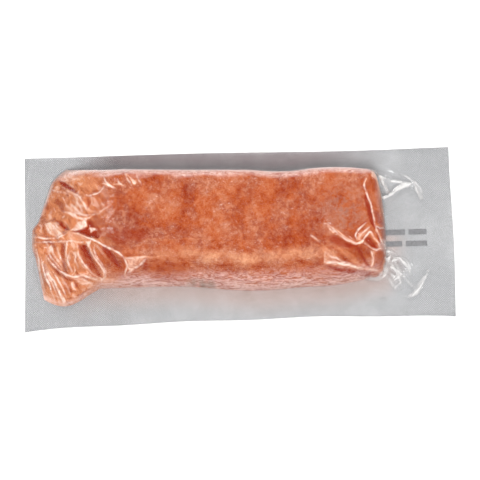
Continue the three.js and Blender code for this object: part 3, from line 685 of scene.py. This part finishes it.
def paintPlan():
    pale, dark = fill(panes, paint(facets))
    # painted highlights along the crests on the fish, brighter on the taller ones
    tight = [
        (min(glint["most"], 0.3 + 0.2 * max(heights)), glint["widths"], *places)
        for heights, *places in crests
    ]
    line = paint(tight)[0]
    loose = [(glint["loose"], glint["looseWidths"], *places) for _, *places in looseCrests]
    return {
        # pale facets: film standing off the flesh, and painted sheen
        "pale": soften(pale, 1),
        # painted shade in the hollows
        "dark": soften(dark, 1),
        # painted highlights along the crests
        "line": soften(line, 1),
        # painted shade beside those highlights
        "shadeBesideCrests": np.maximum(0, soften(line, 6) - 0.5 * line),
        # whiteness of the loose film, and its painted sheen
        "loose": soften(fill(loosePanes, paint(looseFacets))[0], 1),
        # painted highlights along the loose crests
        "looseGlints": soften(paint(loose)[0], 1),
        "hollow": 1.1 * soften(dark, 8),
    }


painted = paintPlan()


def makePlan():
    x = (np.arange(plan["columns"]) - (plan["columns"] - 1) / 2) * plan["cell"]
    y = (np.arange(plan["rows"]) - (plan["rows"] - 1) / 2) * plan["cell"]
    bare = bareShape(*np.meshgrid(x, y))
    main = stretch(crests, plan["hold"])
    loose = stretch(looseCrests, plan["looseHold"], bare["ground"])
    fine = stretch(scatterCreases(), plan["fineHold"])
    lift = soften(np.maximum(1.75 * main, loose * ease(-5, 0, bare["outside"])) + 0.9 * fine, 1)
    lift += 0.5 * soften(painted["pale"], 3)
    return {
        "film": lift,
        "flesh": 1.1 * soften(main, 10) + 0.3 * soften(fine, 8),
        "crest": lift - soften(lift, 8),
        "swell": main - soften(main, 80),
    }


planned = makePlan()
print("film stretched")


def webShape(x, y):
    # height of the top web over the base web, and of the flesh under it
    bare = bareShape(x, y)
    lift = readPlan(planned["film"], x, y)
    pocket = ease(2.4, 5.2, edgeDistance(x, y))
    web = (bare["ground"] + lift) * pocket
    body = bare["body"] + readPlan(planned["flesh"], x, y) * np.minimum(1, 2.5 * bare["share"])
    return {"web": web, "flesh": np.minimum(body, web - pack["web"]), "inset": bare["inset"]}


# Mesh lines, in counts for the rims, for the walls of the fish and for the spans of its top between the
# stops, which are shares of the fish. The lines follow the foot of the fish and gather at its walls.
lines = {
    "along": {
        "sides": ("left", "right"),
        "rims": (14, 78),
        "walls": (40, 14),
        "spans": (84, 42, 60),  # its folded ends have more
        "stops": (0.3, 0.78),
        "size": 165,  # length of the fish that way, roughly
    },
    "across": {
        "sides": ("near", "far"),
        "rims": (22, 14),
        "walls": (34, 16),
        "spans": (62,),
        "stops": (),
        "size": 54.5,
    },
    "rounds": 14,  # in which the lines settle between the edges and the foot of the fish
    "leftRoom": 3,  # least room for the rim
    "rightRoom": 20,
}


def meshLines(way, finer=1):
    # from 0 to 1 over the first rim, on to 2 over the fish and to 3 over the last rim
    line = lines[way]

    def wall(k):
        # spaced evenly up a shoulder
        side = shoulder[line["sides"][k]]
        angle = np.linspace(0, math.pi / 2, int(finer * line["walls"][k]) + 1)[1:]
        return side["width"] / line["size"] * (1 - np.cos(angle) ** (2 / side["power"]))

    def span(start, end, count):
        return np.linspace(start, end, int(finer * count) + 1)

    first = 1 + wall(0)
    last = 2 - wall(1)[::-1]
    marks = [first[-1], *(1 + stop for stop in line["stops"]), last[0]]
    top = np.concatenate([span(*ends)[1:] for ends in zip(marks, marks[1:], line["spans"])])
    rims = span(0, 1, line["rims"][0]), span(2, 3, line["rims"][1])
    return np.unique(np.concatenate([rims[0], first, top[:-1], last, rims[1]]))


def between(stations, v):
    low = np.minimum(len(stations) - 2, np.floor(v).astype(int))
    a = np.choose(low, stations[:-1])
    b = np.choose(low, stations[1:])
    return mix(a, b, v - low)


def planOf(columns, rows):
    # the crossings of the mesh lines
    column, row = np.meshgrid(columns, rows)
    x = mix(-100, 100, column / 3)
    y = mix(-40, 40, row / 3)
    for _ in range(lines["rounds"]):
        s, t = shares(x, y)
        leftFoot = np.maximum(fishLeft(y), leftEdge(t) + lines["leftRoom"])
        rightFoot = np.minimum(fishRight(y), rightEdge(t) - lines["rightRoom"])
        x = between([leftEdge(t), leftFoot, rightFoot, rightEdge(t)], column)
        y = between([nearEdge(s), fishNear(x), fishFar(x), farEdge(s)], row)
    return x, y


def selectOnly(*pieces):
    bpy.ops.object.select_all(action="DESELECT")
    for piece in pieces:
        piece.select_set(True)
    if pieces:
        bpy.context.view_layer.objects.active = pieces[0]


def makeMesh(name, x, y, z, values):
    # a grid moved to those places, with numbers for each vertex, which a material reads as attributes
    selectOnly()
    bpy.ops.mesh.primitive_grid_add(x_subdivisions=x.shape[1] - 1, y_subdivisions=x.shape[0] - 1, size=1)
    piece = bpy.context.object
    piece.name = piece.data.name = name
    places = np.stack([x.ravel(), y.ravel(), z.ravel()], 1) * mm
    piece.data.vertices.foreach_set("co", places.ravel())
    piece.data.update()
    for key, numbers in values.items():
        made = piece.data.attributes.new(key, "FLOAT", "POINT")
        made.data.foreach_set("value", numbers.ravel().astype(np.float32))
    return piece


def thicken(piece):
    # to the thickness of a web, upwards
    selectOnly(piece)
    solid = piece.modifiers.new("thickness", "SOLIDIFY")
    solid.thickness = pack["web"] * mm
    solid.offset = 1
    bpy.ops.object.modifier_apply(modifier=solid.name)


def finishPiece(piece, material):
    selectOnly(piece)
    bpy.ops.object.shade_smooth()
    piece.data.materials.append(material)
    return piece


class Wire:
    # a node's socket, on which Python's own operators build Math nodes
    def __init__(self, tree, socket=None):
        self.tree = tree
        self.socket = socket

    def node(self, kind, settings=None, inputs=None, out=0):
        made = self.tree.nodes.new(kind)
        for name, value in (settings or {}).items():
            setattr(made, name, value)
        for name, value in (inputs or {}).items():
            if isinstance(value, Wire):
                self.tree.links.new(value.socket, made.inputs[name])
            else:
                made.inputs[name].default_value = value
        return Wire(self.tree, made.outputs[out])

    def math(self, operation, *values):
        return self.node("ShaderNodeMath", {"operation": operation}, dict(enumerate(values)))

    def __add__(self, other):
        return self.math("ADD", self, other)

    __radd__ = __add__

    def __sub__(self, other):
        return self.math("SUBTRACT", self, other)

    def __rsub__(self, other):
        return self.math("SUBTRACT", other, self)

    def __mul__(self, other):
        return self.math("MULTIPLY", self, other)

    __rmul__ = __mul__

    def __pow__(self, other):
        return self.math("POWER", self, other)

    def __rpow__(self, other):
        return self.math("POWER", other, self)

    def sine(self):
        return self.math("SINE", self)

    def ease(self, start, end):
        # 0 at the start and 1 at the end, smooth between them
        kind = {"interpolation_type": "SMOOTHSTEP"}
        return self.node("ShaderNodeMapRange", kind, {0: self, 1: start, 2: end, 3: 0.0, 4: 1.0})

    def tint(self, low, high):
        # from one colour to another as this goes from 0 to 1
        kind = {"data_type": "RGBA", "clamp_factor": True}
        return self.node("ShaderNodeMix", kind, {0: self, 6: low, 7: high}, out=2)

    def attribute(self, name):
        return self.node("ShaderNodeAttribute", {"attribute_name": name}, out=2)

    def noise(self, place, size, detail=2.0, roughness=0.5, distortion=0.0):
        inputs = {"Vector": place, "Scale": 1 / size, "Detail": detail, "Roughness": roughness}
        return self.node("ShaderNodeTexNoise", None, inputs | {"Distortion": distortion})

    def hairs(self, place, size, width):
        # thin wandering lines, where a noise crosses its middle value
        crossing = self.math("ABSOLUTE", self.noise(place, size, 1.0, 0.5, 1.2) - 0.5)
        return 1 - crossing.ease(0.0, width)

    def millimetres(self, stretch=(1, 1, 1), turn=0.0):
        # Object coordinates in millimetres, so that the size of a pattern reads as its real one
        place = self.node("ShaderNodeTexCoord", out=3)
        scale = tuple(mm * s for s in stretch)
        inputs = {"Vector": place, "Rotation": (0, 0, turn), "Scale": scale}
        return self.node("ShaderNodeMapping", {"vector_type": "TEXTURE"}, inputs)

    def surface(self):
        # ends the material with this shader
        end = self.tree.nodes.new("ShaderNodeOutputMaterial")
        self.tree.links.new(self.socket, end.inputs["Surface"])


def sRgb(red, green, blue):
    # a colour read from 0 to 255, as a shader takes it
    def linear(v):
        v /= 255
        return v / 12.92 if v <= 0.04045 else ((v + 0.055) / 1.055) ** 2.4

    return (linear(red), linear(green), linear(blue), 1.0)


def newMaterial(name):
    made = bpy.data.materials.new(name)
    made.use_nodes = True
    made.node_tree.nodes.clear()
    return made, Wire(made.node_tree)


flesh = {
    # painted shade in the hollows under the film and beside its crests
    "shadow": sRgb(138, 34, 0),
    # the deepest flesh, also the painted shade along the folds of the thin end
    "deep": sRgb(134, 40, 4),
    "orange": sRgb(166, 74, 28),
    "mottle": sRgb(212, 146, 112),
    # golden flesh, also the painted highlight along the near shoulder
    "gold": sRgb(214, 156, 120),
    "dull": sRgb(146, 96, 82),
    # paler flesh of the thin end, also the painted light on the swells of the folds
    "peach": sRgb(214, 142, 98),
    "glow": sRgb(214, 144, 102),  # the paler facets of the film, partly film standing off the flesh and partly painted sheen, from faint to bright; the bright one is also painted light along the folds
    "crest": sRgb(240, 210, 194),
    # painted highlights along the crests
    "glint": sRgb(255, 238, 226),
    "frost": sRgb(238, 206, 190),
    "rime": sRgb(234, 202, 194),
    "skin": sRgb(92, 92, 82),
    "roughness": 0.45,
    "specular": 0.05,
    "subsurface": 0.1,
    "radius": (0.0018, 0.0006, 0.0003),
    "relief": {"Strength": 0.35, "Distance": 0.0004},
}

# Patterns of the flesh, as noise: its size in millimetres, detail, roughness and distortion, and then the
# values between which the pattern comes in.
patterns = {
    "patches": ((14, 3, 0.55, 0.5), (0.36, 0.64)),
    "blotches": ((3.6, 4, 0.66, 0.9), (0.32, 0.68)),
    "bands": ((5, 2, 0.5, 0.6), (0.35, 0.65)),
    "brittle": ((2.4, 2, 0.5), (0.5, 0.62)),
    "flecks": ((0.75, 2, 0.6, 1.5), (0.65, 0.72)),
    "mottles": ((2.2, 5, 0.78, 0.5), (0.43, 0.63)),
    "frosty": ((10, 3, 0.6), (0.4, 0.66)),
    # painted light and shade along the folds, as noise
    "foldLight": ((3.2, 2, 0.5, 0.6), (0.54, 0.66)),
    "foldShade": ((3.2, 2, 0.5, 0.6), (0.47, 0.34)),
    "streaks": ((1.5, 4, 0.72, 1.2), (0.4, 0.56)),
    "gashes": ((2.6, 4, 0.7, 1.5), (0.5, 0.6)),
    "glaze": ((1.6, 2, 0.5, 0.8), (0.36, 0.64)),
    "broken": ((3.4, 2, 0.5), (0.4, 0.6)),
}


def fleshMaterial():
    made, wire = newMaterial("salmonFlesh")

    def pattern(name, place):
        noise, limits = patterns[name]
        return wire.noise(place, *noise).ease(*limits)

    place = wire.millimetres()
    patches = pattern("patches", place)
    blotches = pattern("blotches", place)
    flecks = pattern("flecks", place)
    mottles = pattern("mottles", place)
    frosty = pattern("frosty", place)
    broken = pattern("broken", place)
    hairs = wire.hairs(place, 2.2, 0.03) * pattern("brittle", place)
    bands = pattern("bands", wire.millimetres((1.0, 3.2, 1.0), 0.2))
    grain = wire.noise(wire.millimetres((0.7, 1.5, 1.0), 0.5), 1.1, 4, 0.7, 1.4)
    acrossFilm = wire.millimetres((3.2, 1.0, 1.0), -0.95)
    # painted light and shade along the folds of the thin end
    foldLight = pattern("foldLight", acrossFilm)
    foldShade = pattern("foldShade", acrossFilm)
    flakes = wire.millimetres((2.8, 1.0, 1.0), -0.04)
    streaks = pattern("streaks", flakes)
    gashes = pattern("gashes", flakes)
    cracks = wire.hairs(flakes, 2.6, 0.06)
    glaze = pattern("glaze", wire.millimetres((4.0, 0.8, 1.0), -0.85))

    frosted = wire.attribute("frosted")
    wall = wire.attribute("wall")
    thin = wire.attribute("thin")
    pale = wire.attribute("pale")
    tone = patches * 0.26 + blotches * 0.3 + bands * 0.15 + (grain - 0.5) * 1.4 + 0.2
    tone = tone + wire.attribute("stain") * 0.45
    base = tone.ease(0.05, 0.75).tint(flesh["deep"], flesh["orange"])
    # each layer over the ones before: how much it shows, and its colour
    layers = [
        (tone.ease(0.5, 1.1) * 0.3, flesh["gold"]),
        (frosty * frosted * 0.35, flesh["dull"]),
        (frosted * mottles * (0.14 + frosty * 0.3), flesh["mottle"]),
        (wire.attribute("chill") * mottles * 0.95, flesh["dull"]),
        (thin * (0.35 + blotches * 0.35), flesh["peach"]),
        # painted light and shade along the folds of the thin end
        (thin * foldLight * 0.4, flesh["crest"]),
        (thin * foldShade * 0.6, flesh["deep"]),
        # painted highlight along the near shoulder
        (wire.attribute("litShoulder") * (0.25 + blotches * 0.6), flesh["gold"]),
        # frost flecks, brightened to stand in for the painted sparkle of the ice
        (frosted * flecks * (0.2 + frosty * 0.4), flesh["frost"]),
        (frosted * hairs * (0.1 + frosty * 0.3), flesh["frost"]),
        (wire.attribute("brow") * (0.1 + gashes * 0.6), flesh["deep"]),
        (wall * (0.06 + streaks * 0.54), flesh["rime"]),
        (wall * (gashes * 0.4 + cracks * 0.5), flesh["deep"]),
        # painted light on the swells of the folds
        (wire.attribute("litSwell").ease(0.05, 0.8) * 0.4, flesh["peach"]),
        # painted shade in the hollows under the film
        (wire.attribute("dark") * (1.2 + glaze * 0.5), flesh["shadow"]),
        # pale facets, where the film stands off the flesh, and their painted sheen
        (pale * (0.65 + glaze * 0.75), pale.ease(0.25, 0.9).tint(flesh["glow"], flesh["crest"])),
        # painted shade beside the crests
        (wire.attribute("shadeBesideCrests").ease(0.02, 0.3) * 0.6, flesh["shadow"]),
        # painted highlights along the crests
        (wire.attribute("line") * (0.45 + broken * 0.85), flesh["glint"]),
        (wire.attribute("rim") * (0.2 + streaks * 0.35 + mottles * 0.3), flesh["rime"]),
        (wire.attribute("skin"), flesh["skin"]),
    ]
    for shown, colour in layers:
        base = shown.tint(base, colour)

    relief = wire.node("ShaderNodeBump", None, flesh["relief"] | {"Height": grain + flecks * 0.5})
    wire.node("ShaderNodeBsdfPrincipled", None, {
        "Base Color": base,
        "Roughness": flesh["roughness"],
        "Specular IOR Level": flesh["specular"],
        "Subsurface Weight": flesh["subsurface"],
        "Subsurface Radius": flesh["radius"],
        "Subsurface Scale": 1.0,
        "Normal": relief,
    }).surface()
    return made


film = {
    "colour": sRgb(163, 164, 166),
    # white of doubled and crumpled film, and of its painted sheen and glints
    "white": sRgb(240, 238, 236),
    "warm": sRgb(250, 214, 196),  # the film where flesh shows through it
    "juiceAndBounce": sRgb(195, 161, 149),  # the base web beside the fish on its near side: fish juice, and painted light bounced off the fish
    "shade": sRgb(128, 112, 114),  # and the painted shadow of the fish on its far side
    "topVeil": 0.005,  # how much of what lies behind it one face of the top web hides
    "baseVeil": 0.36,  # and one face of the base web
    "whiteVeil": 0.34,  # what more it hides where the top web is white, as doubled film and painted sheen and glints,
    "shadeVeil": 0.08,  # in the painted shadow on the far side of the fish,
    "embossedVeil": 0.11,  # where the base web is embossed,
    "checkVeil": 0.31,  # and there from one check to the next
    "pitch": 1.12,  # of the embossing
    "checkHeight": 0.05,
    "tight": 0.36,  # roughness where it lies on frosty flesh
    "creased": 0.13,  # and elsewhere
    "hazy": 0.4,  # roughness of what hides
    "dulled": 0.6,  # how much less it mirrors on frosty flesh
    "mirror": 0.007,  # share of the light that one face mirrors, seen straight on
    "slanted": 0.7,  # and how much more at a slant
    "cloud": (14, 3, 0.6),  # noises: size in millimetres, detail, roughness and distortion
    "waves": (2.6, 3, 0.6, 0.8),
    "ripples": (0.7, 2, 0.6),
    "relief": {"Strength": 0.15, "Distance": 0.0003},
}


def filmMaterial(name, veil, formed):
    # clear film: it mirrors by its angle, and hides a little of what is behind it
    made, wire = newMaterial(name)
    place = wire.millimetres()
    height = (wire.noise(place, *film["waves"]) + wire.noise(place, *film["ripples"]) * 0.2) * 0.4
    cover = veil * (0.75 + wire.noise(place, *film["cloud"]) * 0.5)
    roughness = film["creased"]
    if formed:
        colour = wire.attribute("over").tint(film["colour"], film["warm"])
        # whiteness: doubled, crumpled film, with painted sheen and glints
        colour = wire.attribute("whiteness").tint(colour, film["white"])
        cover = cover + wire.attribute("whiteness") * film["whiteVeil"]
        roughness = wire.attribute("tight") * (film["tight"] - film["creased"]) + film["creased"]
    else:
        turns = 2 * math.pi / film["pitch"]
        ways = [wire.node("ShaderNodeSeparateXYZ", None, {0: place}, out=k) * turns for k in (0, 1)]
        embossed = wire.attribute("embossed")
        checks = ways[0].sine() * ways[1].sine() * embossed
        # juice and painted bounced light beside the fish, and the painted shadow of the fish on its far
        # side
        colour = wire.attribute("juiceAndBounce").tint(film["colour"], film["juiceAndBounce"])
        colour = wire.attribute("shade").tint(colour, film["shade"])
        cover = cover + checks * film["checkVeil"] + embossed * film["embossedVeil"]
        # the painted shadow of the fish hides more
        cover = cover + wire.attribute("shade") * film["shadeVeil"]
        height = height + checks * film["checkHeight"]
    relief = wire.node("ShaderNodeBump", None, film["relief"] | {"Height": height})
    clear = wire.node("ShaderNodeBsdfTransparent", None, {"Color": (1, 1, 1, 1)})
    haze = wire.node("ShaderNodeBsdfPrincipled", None, {
        "Base Color": colour,
        "Roughness": film["hazy"],
        "Normal": relief,
    })
    gloss = wire.node("ShaderNodeBsdfAnisotropic", None, {
        "Color": (1, 1, 1, 1),
        "Roughness": roughness,
        "Normal": relief,
    })
    # the share that each face mirrors, the same from outside and from inside
    slant = wire.node("ShaderNodeLayerWeight", None, {"Blend": 0.5, "Normal": relief}, out=1)
    mirror = slant ** 5 * film["slanted"] + film["mirror"]
    if formed:
        mirror = mirror * (1 - wire.attribute("tight") * film["dulled"])
    body = wire.node("ShaderNodeMixShader", None, {0: cover, 1: clear, 2: haze})
    wire.node("ShaderNodeMixShader", None, {0: mirror, 1: body, 2: gloss}).surface()
    return made


portion = {
    "finer": 1.7,  # its mesh lines, over those of the film
    "foot": 0.17,  # least height of the flesh, so that its edge stays above its underside
    "clearOfFilm": 0.15,  # how much it shrinks, to lie free of the film
    "underside": 0.19,  # its height over the table
}

# Where the looks of the flesh change: distances inside a side of the fish, or places on the pack.
zones = {
    "rim": (4.6, 8.2),  # from the far side, where pale fat ends
    "foot": (0.3, 2.4),  # from the near and left sides, where frost ends
    "end": (1.2, 4.2),  # and from the right side
    "endAcross": (2, 26),  # over which that one grows across the pack
    "flaky": (2.2, 6.4),  # from the near side, where its flakes end
    "flakyAlong": (-68, -45),
    "back": (1.2, 2.8),  # and from the far side
    "backAlong": (-75, -60),
    "brow": (6.8, 2.6),  # the dark line over the near side: its middle and reach
    "browAlong": (-75, -55),
    "litShoulder": (10.5, 4.5),  # the painted highlight along the near shoulder above it: its middle and reach
    "litShoulderFrom": (-60, -15),
    "litShoulderTo": (25, 50),
    "thin": (-74, -56),  # where the thin end with its folded film stops
    "frosted": (-74, -60),
    "chillAlong": (49, 17),  # the greyish patch: its middle and reach
    "chillAcross": (7, 18),
    "skinAlong": (-18, 9),  # the dark scrap of skin at the foot: its middle and reach
    "skinInside": (0.6, 2.2),
}


def fleshShades(x, y, inset):
    # what the flesh's material reads at each vertex, mostly from 0 to 1
    near, far = inset["near"], inset["far"]
    uneven = softNoise(x * 0.3, y, 2.6, 21)
    rim = 1 - ease(*zones["rim"], far + 1.4 * uneven + 1.5 * ease(40, 64, x))
    foot = fade(*zones["foot"], np.minimum(near, 1.5 * inset["left"]) + uneven) * fade(56, 64, x, 0.7)
    end = ease(*zones["endAcross"], y) * fade(*zones["end"], inset["right"] + uneven)
    back = fade(*zones["back"], far + 0.4 * uneven) * ease(*zones["backAlong"], x)
    lift = 0.8 * softNoise(x * 0.2, y, 3, 22) + 1.4 * fade(-30, -5, x)
    wall = fade(*zones["flaky"], near + lift) * ease(*zones["flakyAlong"], x) * fade(56, 66, x, 0.5)
    drift = softNoise(x * 0.3, y * 0.3, 3, 24)
    # painted highlight along the near shoulder
    litShoulder = bump(near + 1.5 * drift, *zones["litShoulder"]) * ease(*zones["litShoulderFrom"], x)
    skin = bump(x, *zones["skinAlong"]) * bump(near, *zones["skinInside"])
    # pale facets (film off the flesh and painted sheen), painted shade in hollows, painted highlights on
    # crests and painted shade beside them
    shades = {name: readPlan(painted[name], x, y) for name in ("pale", "dark", "line", "shadeBesideCrests")}
    return shades | {
        # painted light on the swells of the folds
        "litSwell": readPlan(planned["swell"], x, y),
        "rim": np.maximum.reduce([rim, foot * 0.8, 0.55 * end]) * (1 - 0.8 * back),
        "wall": np.maximum(wall, 0.9 * back),
        "brow": bump(near, *zones["brow"]) * ease(*zones["browAlong"], x) * fade(30, 60, x, 0.6),
        "thin": fade(*zones["thin"], x + 4 * softNoise(x, y, 8, 23)),
        "chill": bump(x, *zones["chillAlong"]) * bump(y, *zones["chillAcross"]),
        "frosted": mix(0.15, 1, ease(*zones["frosted"], x)) * fade(60, 64, x, 0.7),
        "litShoulder": litShoulder * fade(*zones["litShoulderTo"], x) * (0.75 + 0.5 * softNoise(x * 0.4, y * 0.2, 3, 25)),
        "stain": sum(
            value * bump(x, along, 1.5 * wide) * bump(y, across, 1.5 * deep)
            for along, across, wide, deep, value in stains
        ),
        "skin": clamp01(skin * (0.6 + 0.8 * softNoise(x, y, 2.2, 9))),
    }


def buildSalmon():
    columns, rows = (meshLines(way, portion["finer"]) for way in ("along", "across"))
    x, y = planOf(columns[(columns >= 1) & (columns <= 2)], rows[(rows >= 1) & (rows <= 2)])
    shape = webShape(x, y)
    top = np.maximum(shape["flesh"], portion["foot"]) + pack["web"] + pack["gap"]
    piece = makeMesh("salmonPortion", x, y, top, fleshShades(x, y, shape["inset"]))
    selectOnly(piece)
    bpy.ops.object.mode_set(mode="EDIT")
    bpy.ops.mesh.select_all(action="SELECT")
    bpy.ops.transform.shrink_fatten(value=-portion["clearOfFilm"] * mm)
    bpy.ops.mesh.extrude_region_move(TRANSFORM_OT_translate={"value": (0, 0, 0)})
    bpy.ops.transform.resize(value=(1, 1, 0), center_override=(0, 0, portion["underside"] * mm))
    bpy.ops.mesh.dissolve_faces()  # its flat underside needs no mesh lines
    bpy.ops.mesh.select_all(action="SELECT")
    bpy.ops.mesh.flip_normals()
    bpy.ops.object.mode_set(mode="OBJECT")
    return finishPiece(piece, fleshMaterial())


def buildTopWeb():
    x, y = planOf(meshLines("along"), meshLines("across"))
    web = webShape(x, y)["web"] + bandLift(x, y) + pack["web"] + pack["gap"]
    inside = np.minimum.reduce(list(insets(x, y).values()))
    over = ease(-1, 1, inside)
    # painted glints and doubled film on the crests, more off the fish
    crest = ease(0.1, 0.4, readPlan(planned["crest"], x, y)) * (0.25 + 0.55 * (1 - over))
    # whiteness of the loose film, and its painted sheen
    sheen = readPlan(painted["loose"], x, y) * (0.9 + 0.25 * softNoise(x * 0.6, y, 1.3, 31))
    # painted highlights along the loose crests
    edges = readPlan(painted["looseGlints"], x, y)
    piece = makeMesh("topWeb", x, y, web, {
        "whiteness": crest + np.maximum(1.7 * sheen, 2.6 * edges),
        "over": over,
        "tight": ease(-64, -45, x) * fade(28, 42, x),
    })
    thicken(piece)
    return finishPiece(piece, filmMaterial("topFilm", film["topVeil"], True))


def buildBaseWeb():
    columns, rows = (meshLines(way)[::3] for way in ("along", "across"))  # it is flat, so fewer do
    columns[-1] = rows[-1] = 3
    x, y = planOf(columns, rows)
    outside = -np.minimum.reduce(list(insets(x, y).values()))
    beside = ease(-85, -50, x) * fade(60, 95, x)
    left = 1 - ease(-86, -64, x - 0.4 * np.abs(y))
    right = ease(84, 97, x + 0.25 * np.abs(y)) * ease(8, 24, np.abs(y))
    piece = makeMesh("baseWeb", x, y, bandLift(x, y), {
        # fish juice and painted light bounced off the fish, on the near side
        "juiceAndBounce": 0.8 * fade(1, 14, outside) * beside * (y < 0),
        # painted shadow of the fish on its far side
        "shade": beside * fade(30, 80, x) * ease(1, 7, y - fishFar(x)),
        "embossed": np.maximum(left, 0.9 * right),
    })
    thicken(piece)
    return finishPiece(piece, filmMaterial("baseFilm", film["baseVeil"], False))


printBars = {
    "right": 90.4,  # where both rows start, and run left from
    "rows": [{"y": 1.4, "lengths": (8.6, 10.4)}, {"y": -4.4, "lengths": (10.2, 8.4)}],
    "height": 2.6,
    "space": 1.8,
    "thickness": 0.04,
    "above": 0.03,  # its middle, over the base web
    "ink": (sRgb(132, 132, 134), sRgb(102, 102, 104)),  # where it is worn, and where it is full
    "wear": (0.7, 3, 0.6),
}


def inkMaterial():
    made, wire = newMaterial("printInk")
    full = wire.noise(wire.millimetres(), *printBars["wear"]).ease(0.3, 0.7)
    ink = {"Base Color": full.tint(*printBars["ink"]), "Roughness": 0.55}
    wire.node("ShaderNodeBsdfPrincipled", None, ink).surface()
    return made


def buildPrint():
    bars = []
    for row in printBars["rows"]:
        x = printBars["right"]
        for length in row["lengths"]:
            middle = ((x - length / 2) * mm, row["y"] * mm, (pack["web"] + printBars["above"]) * mm)
            selectOnly()
            bpy.ops.mesh.primitive_cube_add(size=mm, location=middle)
            bars.append(bpy.context.object)
            bars[-1].scale = (length, printBars["height"], printBars["thickness"])
            bpy.ops.object.transform_apply(location=True, rotation=True, scale=True)
            x -= length + printBars["space"]
    selectOnly(*bars)
    bpy.ops.object.join()
    bars[0].name = bars[0].data.name = "printBars"
    bars[0].data.materials.append(inkMaterial())
    return bars[0]


pieces = [
    (buildSalmon(), "salmon_flesh"),
    (buildTopWeb(), "clear_film"),
    (buildBaseWeb(), "clear_film"),
    (buildPrint(), "print_ink"),
]
for piece, slot in pieces:
    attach(piece, "root")
    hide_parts("sealed_salmon_portion")
print("pieces made:", {piece.name: len(piece.data.polygons) for piece, _ in pieces})

view = {
    "elevation": 74,
    "roll": 1.6,
    "span": 230.4,  # width that the frame takes in at the middle of the pack
    "distance": 1450,
    "target": (0.75, -0.25, 0.0),
    "sensor": 36,
    "clipEnd": 10,
}


def addCamera():
    camera = bpy.data.cameras.new("camera")
    camera.sensor_width = view["sensor"]
    camera.lens = camera.sensor_width * view["distance"] / view["span"]
    camera.clip_end = view["clipEnd"]
    holder = bpy.data.objects.new("camera", camera)
    bpy.context.collection.objects.link(holder)
    tilt = math.radians(view["elevation"])
    back = Vector((0, -math.cos(tilt), math.sin(tilt)))
    holder.location = (Vector(view["target"]) + back * view["distance"]) * mm
    holder.rotation_mode = "QUATERNION"
    roll = Quaternion(back, math.radians(-view["roll"]))
    holder.rotation_quaternion = roll @ (-back).to_track_quat("-Z", "Y")
    bpy.context.scene.camera = holder


# Some lamps only light the pack, and the others are only mirrored in the film.
lamps = [
    {"name": "key", "from": (0.05, -0.7, 1.42), "size": 0.4, "power": 22.3, "mirrored": False},
    {"name": "fill", "from": (0.1, 0.9, 1.2), "size": 0.9, "power": 11, "mirrored": False},
    {"name": "sheenLeft", "from": (-0.72, 0.4, 1.0), "size": 0.2, "power": 2.4, "mirrored": True},
    {"name": "sheenRight", "from": (0.85, 0.1, 1.1), "size": 0.3, "power": 4.5, "mirrored": True},
    {"name": "glintLeft", "from": (-1.1, -0.6, 0.75), "size": 0.1, "power": 3.0, "mirrored": True},
    {"name": "glintFar", "from": (0.5, 1.2, 0.6), "size": 0.12, "power": 3.0, "mirrored": True},
]
studio = {
    "world": 0.48,  # strength of the even white light all round
    "floorSize": 6,
    "floorDrop": 0.0002,
    "floor": {"Base Color": (0.95, 0.95, 0.95, 1), "Roughness": 0.9, "Specular IOR Level": 0.1},
}


def addLight():
    for lamp in lamps:
        data = bpy.data.lights.new(lamp["name"], "AREA")
        data.size = lamp["size"]
        data.energy = lamp["power"]
        holder = bpy.data.objects.new(lamp["name"], data)
        bpy.context.collection.objects.link(holder)
        holder.location = lamp["from"]
        holder.visible_glossy = lamp["mirrored"]
        holder.visible_diffuse = not lamp["mirrored"]
        holder.rotation_mode = "QUATERNION"
        holder.rotation_quaternion = Vector(lamp["from"]).to_track_quat("Z", "Y")
    world = bpy.data.worlds.new("studio")
    world.use_nodes = True
    world.node_tree.nodes["Background"].inputs["Color"].default_value = (1, 1, 1, 1)
    world.node_tree.nodes["Background"].inputs["Strength"].default_value = studio["world"]
    bpy.context.scene.world = world
    bpy.context.scene.view_settings.view_transform = "Standard"


def addFloor():
    selectOnly()
    bpy.ops.mesh.primitive_plane_add(size=studio["floorSize"], location=(0, 0, -studio["floorDrop"]))
    floor = bpy.context.object
    floor.name = "floor"
    made, wire = newMaterial("paleFloor")
    wire.node("ShaderNodeBsdfPrincipled", None, studio["floor"]).surface()
    floor.data.materials.append(made)


addCamera()
addLight()
addFloor()
print("stage set")
